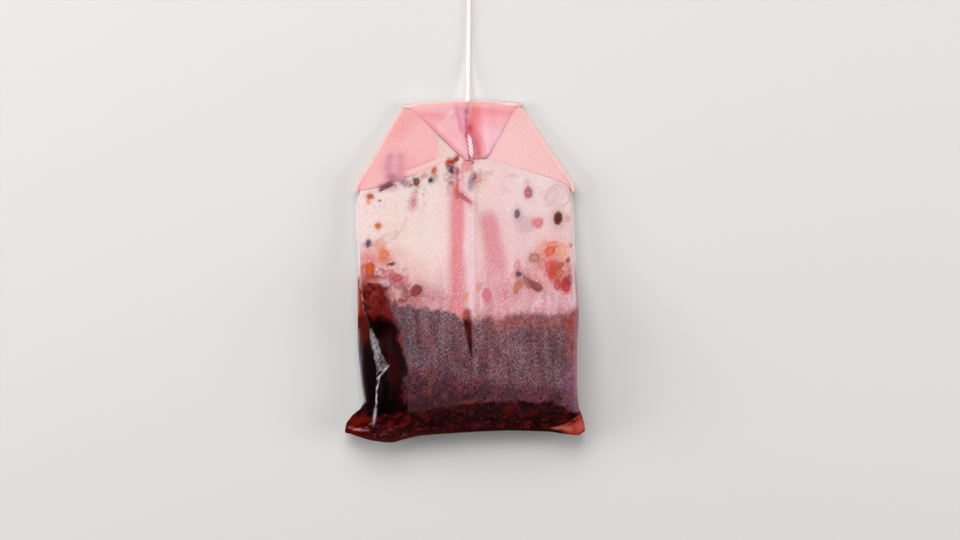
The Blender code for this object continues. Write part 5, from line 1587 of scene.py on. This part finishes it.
def own_radii(name):
    """Half length and half width of a turned piece, from its box and its turn."""
    kind, turn = FRUIT[name][:2]
    _, size = centre_and_size(name)
    c, s = abs(math.cos(math.radians(turn))), abs(math.sin(math.radians(turn)))
    if abs(c - s) < 0.25:
        longest = math.hypot(size.x, size.y) * (0.55 if kind == "stick" else 0.46)
        return longest, longest * {"stick": 0.24, "wing": 0.42}.get(kind, 0.62)
    a = (size.x * c - size.y * s) / (c * c - s * s)
    b = (size.y * c - size.x * s) / (c * c - s * s)
    return max(a, 0.5) / 2, max(b, 0.45) / 2


def fruit_stains(ply):
    """Clear paper over each piece, and juice round it."""
    x, y = ply.x, ply.y
    rx, ry = ragged(x, y)
    for name, (kind, turn, colour, clear, rim) in FRUIT.items():
        centre, _ = centre_and_size(name)
        a, b = own_radii(name)
        ply.coat(0.40 * clear * spot(rx, ry, centre, (a * 1.7, b * 1.8), turn, 0.8), rim)
        taper = 1.0
        if kind == "wing":
            taper = 1 + 0.5 * np.clip(((x - centre.x) - (y - centre.y)) / (1.4 * a), -1, 1)
        inside = oval(rx * 0.3 + x * 0.7, ry * 0.3 + y * 0.7, centre, (a * 1.08, b * 1.08 * taper), turn)
        core = oval(x, y, centre, [max(radius - RIM, 0.1) for radius in (a, b)], turn)
        ply.coat(0.95 * clear**0.5 * inside, colour, 0.88 - 0.30 * clear, 0.95)
        ply.coat(0.6 * clear * (inside - core), rim)


# %% One piece of fruit, pressed against the paper
# the outline's power (2 is an ellipse), how ragged it is, and the thickness
FRUIT_KINDS = {
    "seed": (2.0, 0.10, 0.55), "stick": (5.0, 0.25, 0.40), "ring": (2.0, 0.15, 0.25),
    "petal": (2.2, 0.55, 0.30), "shred": (2.2, 0.55, 0.30), "arrow": (1.3, 0.55, 0.30),
    "wing": (1.6, 0.55, 0.30),
}
AROUND, RINGS, HOLE = 28, 6, 0.55


def fruit_outline(name, angle, rough):
    """How far the rim lies from the middle at each angle, for a piece of radius 1."""
    kind = FRUIT[name][0]
    power, tatters, _ = FRUIT_KINDS[kind]
    edge = (np.abs(np.cos(angle)) ** power + np.abs(np.sin(angle)) ** power) ** (-1 / power)
    if kind == "petal":
        corner = (angle + len(name)) % (2 * np.pi / 5) - np.pi / 5
        edge = edge * (1.05 * math.cos(math.pi / 5) / np.cos(corner))
    edge = edge * (1 + tatters * rough(1.6 * np.cos(angle) + 7, 1.6 * np.sin(angle) + 7))
    if kind == "wing":
        edge = edge * (1 - 0.42 * hump(angle, np.pi / 2, 0.5))
    return edge


def fruit_faces(rings, open_middle):
    """Quads from ring to ring, closed through a hole or by a fan at each end."""
    first = 0 if open_middle else 1
    faces = [] if open_middle else [(0, first + k, first + (k + 1) % AROUND) for k in range(AROUND)]
    for i in range(rings if open_middle else rings - 1):
        here, there = first + i * AROUND, first + (i + 1) % rings * AROUND
        for k in range(AROUND):
            m = (k + 1) % AROUND
            faces.append((here + k, there + k, there + m, here + m))
    if not open_middle:
        end, last = first + rings * AROUND, first + (rings - 1) * AROUND
        faces.extend((end, last + (k + 1) % AROUND, last + k) for k in range(AROUND))
    return faces


def fruit_mesh(name, finish):
    """Rings of points out over the piece's top and back under it, with a darker rim."""
    kind, turn, colour, _, rim_colour = FRUIT[name]
    thick = FRUIT_KINDS[kind][2]
    centre, _ = centre_and_size(name)
    a, b = (radius * 1.12 for radius in own_radii(name))
    c, s = math.cos(math.radians(turn)), math.sin(math.radians(turn))
    rough = noise(sum(ord(letter) for letter in name))
    angle = 2 * np.pi * np.arange(AROUND) / AROUND
    edge = fruit_outline(name, angle, rough)
    hole = HOLE if kind == "ring" else 0.0
    steps = [(1, i / RINGS) for i in range(RINGS + 1)]
    steps += [(-1, 1 - i / RINGS) for i in range(1, RINGS + 1)]
    if hole:
        steps.pop()
    points, tones = [], []
    for side, part in steps:
        r = hole + (1 - hole) * part
        width = abs(2 * part - 1) if hole else r
        x = centre.x + edge * r * (a * np.cos(angle) * c - b * np.sin(angle) * s)
        y = centre.y + edge * r * (a * np.cos(angle) * s + b * np.sin(angle) * c)
        swell = math.sqrt(max(1 - width**2.4, 0.0))
        wrinkle = 0.12 * thick * rough(x * 2.4, y * 2.4)
        top = front_top(x, y) - WALL - 0.10
        z = top - thick * 0.5 * (1 - side * swell) + wrinkle * swell
        ring = np.stack([x, y, z], axis=1) if r > 0 else [(centre.x, centre.y, z.mean())]
        points.extend(ring)
        tones.extend([width**3] * len(ring))
    faces = fruit_faces(len(steps) - (0 if hole else 2), hole > 0)
    thing = closed(mesh_object(name + "_fruit", points, faces, finish))
    tones = np.array(tones)[:, None]
    shade = srgb(*colour) * (1 - tones) + srgb(*rim_colour) * tones
    # The colours are raised 1.9 times above the fruit's own: painted light against the shade under the
    # paper.
    set_values(thing, "piece_colour", np.clip(1.9 * shade, 0, 0.95))
    return thing


# %% The fruit's finish, and all its pieces
fruit, tree, shader = new_finish("steeped_fruit", 0.32)
shader.inputs["Specular IOR Level"].default_value = 0.2
own = own_values(tree, "piece_colour")["Color"]
flesh = grain(tree, (2.2, 2.2, 2.2), 3.0)
veins = grain(tree, (5.0, 1.2, 3.0), 2.0)
dark = blend_colour(tree, 1.0, own, (0.72, 0.62, 0.62), "MULTIPLY")
fleshy = blend_colour(tree, between(tree, flesh, 0.38, 0.62), dark, own)
tree.links.new(fleshy, shader.inputs["Base Color"])
bump(tree, shader, veins, 0.5, 0.08)

for name in FRUIT:
    piece = fruit_mesh(name, fruit)
    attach(piece, "root")
    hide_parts(name)
print("stuck pieces:", len(FRUIT))

# %% [markdown]
# ## Tea
#
# Swollen hibiscus fills the lower half of each chamber. Wet tea is thousands of flakes
# pressed into one mass. Modelling each flake by hand is hopeless, and a bump texture alone
# looks flat where the paper is clear. So the mass is one closed lump that follows the
# paper, and Geometry Nodes lay flakes all over it.

# %% The flakes' and the mass's finish
wet_tea, tree, shader = new_finish("wet_tea", 0.28)
shader.inputs["Specular IOR Level"].default_value = 0.05
tone = own_values(tree, "chip_tone")["Fac"]
mottle = grain(tree, (1.3, 0.9, 1.3), 3.0)
mixed = maths(tree, "ADD", times(tree, tone, 0.72), times(tree, mottle, 0.30))
ramp = add(tree, "ShaderNodeValToRGB", {"Fac": mixed})
stops = (
    (0.0, (20, 4, 6)), (0.45, (46, 9, 12)), (0.66, (76, 17, 18)), (0.80, (104, 32, 26)),
    (0.90, (86, 26, 40)), (1.0, (146, 76, 50)),
)
for place, _ in stops[1:-1]:
    ramp.color_ramp.elements.new(place)
for element, (_, colour) in zip(ramp.color_ramp.elements, stops):
    element.color = (*srgb(*colour), 1.0)
tree.links.new(ramp.outputs["Color"], shader.inputs["Base Color"])
bump(tree, shader, grain(tree, (2.6, 1.6, 2.6), 3.0), 0.7, 0.15)


# %% The mass of tea in each chamber
FULLEST = -14.0


def tea_points(top_surface, bottom_surface, top_line, bottom, left, right, columns=64, rows=44):
    """A closed cushion between two surfaces: its upper grid and its lower grid share a rim."""
    u, t = np.meshgrid(np.linspace(-1, 1, columns), np.linspace(0, 1, rows))
    start_x = (left(FULLEST) + right(FULLEST)) / 2 + u * (right(FULLEST) - left(FULLEST)) / 2
    y = top_line(start_x) * (1 - t) + bottom * t
    x = (left(y) + right(y)) / 2 + u * (right(y) - left(y)) / 2
    high, low = top_surface(x, y), bottom_surface(x, y)
    middle = (high + low) / 2
    rim = np.minimum.reduce([(1 - np.abs(u)) * 8.0, t * 11.0, (1 - t) * 9.0, np.ones_like(u)])
    fullness = np.sqrt(np.clip(1 - (1 - rim) ** 2, 0, 1))
    return [np.stack([x, y, middle + (side - middle) * fullness], axis=-1) for side in (high, low)]


def cushion(name, upper, lower, finish):
    """Joins two grids along their shared rim."""
    rows, columns, _ = upper.shape
    number = np.arange(rows * columns).reshape(rows, columns)
    inside = np.zeros((rows, columns), bool)
    inside[1:-1, 1:-1] = True
    below = number.copy()
    below[inside] = rows * columns + np.arange(inside.sum())
    points = np.concatenate([upper.reshape(-1, 3), lower[inside]])
    return closed(mesh_object(name, points, facing_quads(number, below), finish))


TEA_GAP = 0.75
HEAPS = noise(21)


def front_bottom(x, y):
    """Height of the front chamber's lower ply."""
    tube = front_tube(y.ravel())
    height = (tube.inner - FLAT) * crown(across_section(tube, x.ravel()), tube.fin) + FLAT
    return (tube.z - height - tube.sink * left_side(x.ravel())).reshape(x.shape)


def back_surface(x, y, floor_side):
    """Height of the back chamber's ply on the floor, or of the one above it."""
    tube = back_tube(y.ravel())
    reach = tube.outer if floor_side else tube.inner
    height = (reach - FLAT) * crown(across_section(tube, x.ravel()), tube.fin) + FLAT
    z = tube.z - height if floor_side else tube.z + height
    return np.maximum(z, 0.0).reshape(x.shape)


front_tea = cushion(
    "front_tea_mass",
    *tea_points(
        lambda x, y: front_top(x, y) - TEA_GAP - 0.3 * np.abs(HEAPS(x / 1.6, y / 1.6)),
        lambda x, y: front_bottom(x, y) + 0.5,
        lambda x: TEA_LINE(x) + 0.7,
        -28.9,
        lambda y: BACK_LEFT(y) + FRONT_LEFT_INSET(y) + 0.75,
        lambda y: BACK_RIGHT(y) - FRONT_RIGHT_INSET(y) - 0.75,
    ),
    wet_tea,
)
back_tea = cushion(
    "back_tea_mass",
    *tea_points(
        lambda x, y: back_surface(x, y, False) - 0.5,
        lambda x, y: back_surface(x, y, True) + TEA_GAP,
        lambda x: TEA_LINE(-x) + 0.5,
        -28.6,
        lambda y: BACK_LEFT(y) + 0.8,
        lambda y: BACK_RIGHT(y) - 0.8,
    ),
    wet_tea,
)


# %% Geometry Nodes tree: flakes on a surface
def flake_tree(material):
    tree, inside = new_tree(
        "tea_flakes",
        ("Density", "Float", 1.6e6), ("Smallest", "Float", 0.00025), ("Largest", "Float", 0.0010),
        ("Tilt", "Float", 0.25), ("Seed", "Int", 1),
    )
    scatter = {"Mesh": inside["Geometry"], "Density": inside["Density"], "Seed": inside["Seed"]}
    points = add(tree, "GeometryNodeDistributePointsOnFaces", scatter)
    ball = add(tree, "GeometryNodeMeshIcoSphere", {"Radius": 1.0, "Subdivisions": 1})
    thin = add(tree, "GeometryNodeTransform", {"Geometry": ball, "Scale": (1.25, 0.62, 0.16)})

    def random(low, high, offset):
        seed = maths(tree, "ADD", inside["Seed"], float(offset))
        node = add(tree, "FunctionNodeRandomValue", {"Seed": seed, 2: low, 3: high}, data_type="FLOAT")
        return node.outputs[1]

    tilt, back = inside["Tilt"], times(tree, inside["Tilt"], -1.0)
    turns = {0: random(back, tilt, 11), 1: random(back, tilt, 12), 2: random(0.0, 6.28, 13)}
    spin = add(tree, "ShaderNodeCombineXYZ", turns)
    turns = {"Rotation": points.outputs["Rotation"], "Rotate By": spin}
    turned = add(tree, "FunctionNodeRotateRotation", turns, rotation_space="LOCAL")
    skewed = maths(tree, "POWER", random(0.0, 1.0, 14), 2.0)
    ends = {"Value": skewed, "To Min": inside["Smallest"], "To Max": inside["Largest"]}
    size = add(tree, "ShaderNodeMapRange", ends)
    spread = {"Points": points, "Instance": thin, "Rotation": turned, "Scale": size}
    placed = add(tree, "GeometryNodeInstanceOnPoints", spread)
    chosen = {"Geometry": placed, "Name": "chip_tone", "Value": random(0.0, 1.0, 15)}
    tone = add(tree, "GeometryNodeStoreNamedAttribute", chosen, data_type="FLOAT", domain="INSTANCE")
    real = add(tree, "GeometryNodeRealizeInstances", {0: tone})
    ripple = add(tree, "ShaderNodeTexNoise", {"Scale": 1400.0, "Detail": 1.0})
    half = (0.5, 0.5, 0.5)
    centred = add(tree, "ShaderNodeVectorMath", {0: ripple.outputs["Color"], 1: half}, operation="SUBTRACT")
    small = add(tree, "ShaderNodeVectorMath", {0: centred, "Scale": 0.0007}, operation="SCALE")
    bent = add(tree, "GeometryNodeSetPosition", {"Geometry": real, "Offset": small})
    return finish_tree(tree, bent, material)


FLAKES = flake_tree(wet_tea)
MASS_TONE = 0.25


def flaked(mass, name, **values):
    """A mass of tea with flakes all over it, as one mesh."""
    carrier = new_object(name + "_carrier", mass.data)
    flakes = evaluated(with_tree(carrier, FLAKES, **values), name + "_flakes")
    set_values(mass, "chip_tone", [MASS_TONE] * len(mass.data.vertices))
    return join(name, mass, flakes)


front_tea = flaked(front_tea, "front_tea", Density=1.5e6, Seed=4)
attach(front_tea, "root")
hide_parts("tea_front")
back_tea = flaked(back_tea, "back_tea", Density=0.9e6, Seed=9)
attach(back_tea, "root")
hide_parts("tea_back")
print("tea faces:", len(front_tea.data.polygons), "and", len(back_tea.data.polygons))

# %% [markdown]
# ## The paper's finish
#
# The paper's shader mixes a clear shader with a paper shader by the cover of each place,
# and a wet film lies over both. Filter paper is a mat of fibres that run down the strip, so
# the cover, the colour and the bump all read noise that is stretched along it.

# %% Shader
paper, tree, shader = new_finish("wet_filter_paper", 0.5)
shader.inputs["Specular IOR Level"].default_value = 0.03
stain_and_light = own_values(tree, "stain_and_light_colour")["Color"]
cover = own_values(tree, "cover")["Fac"]
wet = own_values(tree, "wet")["Fac"]
hairs = between(tree, grain(tree, (5.0, 2.4, 5.0), 2.0, 0.6), 0.36, 0.64)
grit = grain(tree, (4.5, 3.0, 4.5), 1.0)
# Fine noise that places the painted glints.
glint_specks = between(tree, grain(tree, (4.8, 2.1, 4.8), 1.0), 0.59, 0.67)

thin = times(tree, cover, maths(tree, "SUBTRACT", 1.0, cover))
uneven = times(tree, maths(tree, "SUBTRACT", hairs, 0.5), times(tree, thin, 2.3))
uneven = times(tree, uneven, between(tree, wet, 0.85, 0.98, 1.0, 0.0))
# Where the paper is damp, pale and not soaked through, white specks are painted in: painted glints of light
# on wet fibres, which also cover a little more.
unsoaked = times(tree, between(tree, wet, 0.5, 0.9, 1.0, 0.0), between(tree, cover, 0.72, 0.86))
glint_zone = times(tree, between(tree, wet, 0.22, 0.42), unsoaked)
green = add(tree, "ShaderNodeSeparateColor", {"Color": stain_and_light}).outputs["Green"]
pale = between(tree, green, 0.13, 0.24, 0.0, 0.68)
painted_glints = times(tree, glint_specks, times(tree, glint_zone, pale))
opacity = maths(tree, "ADD", maths(tree, "ADD", cover, uneven), times(tree, painted_glints, 0.2))
lit = blend_colour(tree, painted_glints, stain_and_light, (1.0, 0.93, 0.94))
gritty = between(tree, grit, 0.35, 0.65, 0.0, 0.22)
shaded = blend_colour(tree, gritty, lit, (0.80, 0.70, 0.72), "MULTIPLY")
tree.links.new(shaded, shader.inputs["Base Color"])
tree.links.new(between(tree, wet, 0.0, 1.0, 0.62, 0.30), shader.inputs["Roughness"])
surface = maths(tree, "ADD", times(tree, hairs, 0.5), grit)
relief_normal = bump(tree, shader, surface, 0.30, 0.06)
clear = add(tree, "ShaderNodeBsdfTransparent", {"Color": (0.98, 0.93, 0.93, 1.0)})
held = between(tree, opacity, 0.0, 1.0)
glow = add(tree, "ShaderNodeBsdfTranslucent", {"Color": shaded})
body = add(tree, "ShaderNodeMixShader", {0: 0.25, 1: shader, 2: glow})
sheet_mix = add(tree, "ShaderNodeMixShader", {0: held, 1: clear, 2: body})
white = (1.0, 1.0, 1.0, 1.0)
film = add(tree, "ShaderNodeBsdfAnisotropic", {"Color": white, "Roughness": 0.16, "Normal": relief_normal})
fresnel = add(tree, "ShaderNodeLayerWeight", {"Blend": 0.07, "Normal": relief_normal}).outputs["Fresnel"]
soaked = times(tree, wet, between(tree, wet, 0.85, 1.0, 1.0, 0.15))
film_amount = times(tree, fresnel, soaked)
final = add(tree, "ShaderNodeMixShader", {0: film_amount, 1: sheet_mix, 2: film})
tree.links.new(final.outputs[0], tree.nodes["Material Output"].inputs["Surface"])


# %% Mesh of the tube and the flaps, with their paint
def paint_rows():
    """Tint, cover and wetness of every point of the tube's outer skin."""
    x, y = outer_skin[..., 0], outer_skin[..., 1]
    rows = np.arange(x.shape[0])[:, None] * np.ones_like(x)
    outside = SIDE[None, :] * np.ones_like(x) > 0
    front = front_paint(x, y)
    fruit_stains(front)
    choices = [
        ((rows < W_START) & outside, front),
        ((rows < W_START) & ~outside, far_paint(x, y)),
        ((rows >= W_START) & (rows < W_END), fold_paint(x, y)),
        ((rows >= W_END) & outside, back_paint(x, y)),
        ((rows >= W_END) & ~outside, far_paint(x, y)),
    ]
    tint = np.zeros(x.shape + (3,))
    cover_at, wet_at = np.zeros(x.shape), np.zeros(x.shape)
    for mask, ply in choices:
        tint[mask], cover_at[mask], wet_at[mask] = ply.tint[mask], ply.cover[mask], ply.wet[mask]
    return tint, cover_at, wet_at


def ring_quads(grid):
    after = np.roll(grid, -1, axis=1)
    return np.stack([grid[:-1], grid[1:], after[1:], after[:-1]], axis=-1).reshape(-1, 4).tolist()


def tube_shell():
    """The outer skin, an inner skin with half as many points each way, and the open ends."""
    rows, columns, _ = outer_skin.shape
    picked = [i for i in range(rows) if i % 2 == 0 or i >= W_START - 1]
    outer_grid = np.arange(rows * columns).reshape(rows, columns)
    inner = len(picked) * (columns // 2)
    inner_grid = rows * columns + np.arange(inner).reshape(len(picked), columns // 2)
    faces = ring_quads(outer_grid) + ring_quads(inner_grid[:, ::-1])
    for rim, lip in ((outer_grid[0], inner_grid[0]), (outer_grid[-1], inner_grid[-1])):
        for k in range(columns // 2):
            n = (k + 1) % (columns // 2)
            faces.append((rim[2 * k], rim[2 * k + 1], rim[2 * n], lip[n], lip[k]))
    points = np.concatenate([outer_skin.reshape(-1, 3), inner_skin[picked][:, ::2].reshape(-1, 3)])
    tint, cover_at, wet_at = paint_rows()
    tint = np.concatenate([tint.reshape(-1, 3), np.ones((inner, 3))])
    cover_at = np.concatenate([cover_at.ravel(), np.zeros(inner)])
    wet_at = np.concatenate([wet_at.ravel(), np.zeros(inner)])
    return points, faces, tint, cover_at, wet_at


def slab(skin, edge, paint_at):
    """A folded flap: a thick grid, thin at its free edges, with the same paint on both skins."""
    points, faces = thick_grid(skin, WALL * (1 - 0.8 * edge * np.ones(skin.shape[:2])))
    half = len(points) // 2
    ply = paint_at(points[:half, 0], points[:half, 1])
    return points, faces, np.tile(ply.tint, (2, 1)), np.tile(ply.cover, 2), np.tile(ply.wet, 2)


# %% The bag, joined from its tube, tip and corners
TIP_STEPS, EDGE_SHARPNESS = 56, 16
tip_columns = np.cos(np.pi * np.arange(TIP_STEPS + 1) / TIP_STEPS) * 0.3
tip_columns = tip_columns + 0.7 * np.linspace(1, -1, TIP_STEPS + 1)
tip_skin = tip_rows(tip_columns)
left_skin, right_skin = corner_skin(-1, LEFT_CORNER), corner_skin(1, RIGHT_CORNER)
corner_edge = np.linspace(0, 1, left_skin.shape[1]) ** EDGE_SHARPNESS
parts = [
    tube_shell(),
    slab(tip_skin, np.abs(tip_columns) ** EDGE_SHARPNESS, tip_paint),
    slab(left_skin, corner_edge, lambda x, y: corner_paint(x, y, -1)),
    slab(right_skin, corner_edge, lambda x, y: corner_paint(x, y, 1)),
]
pieces = []
for number, (points, faces, tint, cover_at, wet_at) in enumerate(parts):
    thing = closed(mesh_object(f"paper_part_{number}", points, faces, paper))
    set_values(thing, "stain_and_light_colour", tint)
    set_values(thing, "cover", cover_at)
    set_values(thing, "wet", wet_at)
    pieces.append(thing)
bag = join("wet_paper_bag", *pieces)
bag.data.set_sharp_from_angle(angle=math.radians(50))
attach(bag, "root")
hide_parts("filter_paper")
print("paper:", len(bag.data.polygons), "faces")

# %% [markdown]
# ## Tag
#
# A blank card tag, folded over the thread's end. It is dry, so it keeps its own colour.

# %% Tag
card, tree, shader = new_finish("tag_card", 0.7, srgb(240, 236, 226))
pulp = grain(tree, (3.0, 3.0, 3.0), 4.0)
speckled = blend_colour(tree, between(tree, pulp, 0.35, 0.65), srgb(232, 226, 214), srgb(247, 244, 237))
tree.links.new(speckled, shader.inputs["Base Color"])
bump(tree, shader, pulp, 0.3, 0.05)

CARD, TAG_MARGIN = 0.3, 0.2
TAG_LOW, TAG_HIGH = (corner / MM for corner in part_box("paper_tag"))


def tag_skin(rows=40, columns=30):
    """The middle surface of the folded card, from the lower leaf's edge round the fold."""
    half = CARD / 2
    radius = (TAG_HIGH.z - TAG_LOW.z) / 2 - half
    fold_y = TAG_HIGH.y - radius - half
    leaf = np.linspace(TAG_LOW.y + TAG_MARGIN, fold_y, rows)
    path = [(y, half) for y in leaf]
    for a in np.linspace(0.2, 2.94, 8):
        path.append((fold_y + radius * math.sin(a), half + radius - radius * math.cos(a)))
    path += [(y, half + 2 * radius) for y in leaf[::-1]]
    path = np.array(path)
    grid = np.zeros((len(path), columns, 3))
    grid[..., 0] = np.linspace(TAG_LOW.x + half, TAG_HIGH.x - half, columns)
    grid[..., 1] = path[:, :1]
    grid[..., 2] = path[:, 1:] + 0.10 * np.sin((path[:, :1] - TAG_LOW.y) / 8.0) * (path[:, 1:] > 1.0)
    return grid


tag = closed(mesh_object("folded_tag", *thick_grid(tag_skin(), CARD), card))
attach(tag, "root")
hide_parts("paper_tag")
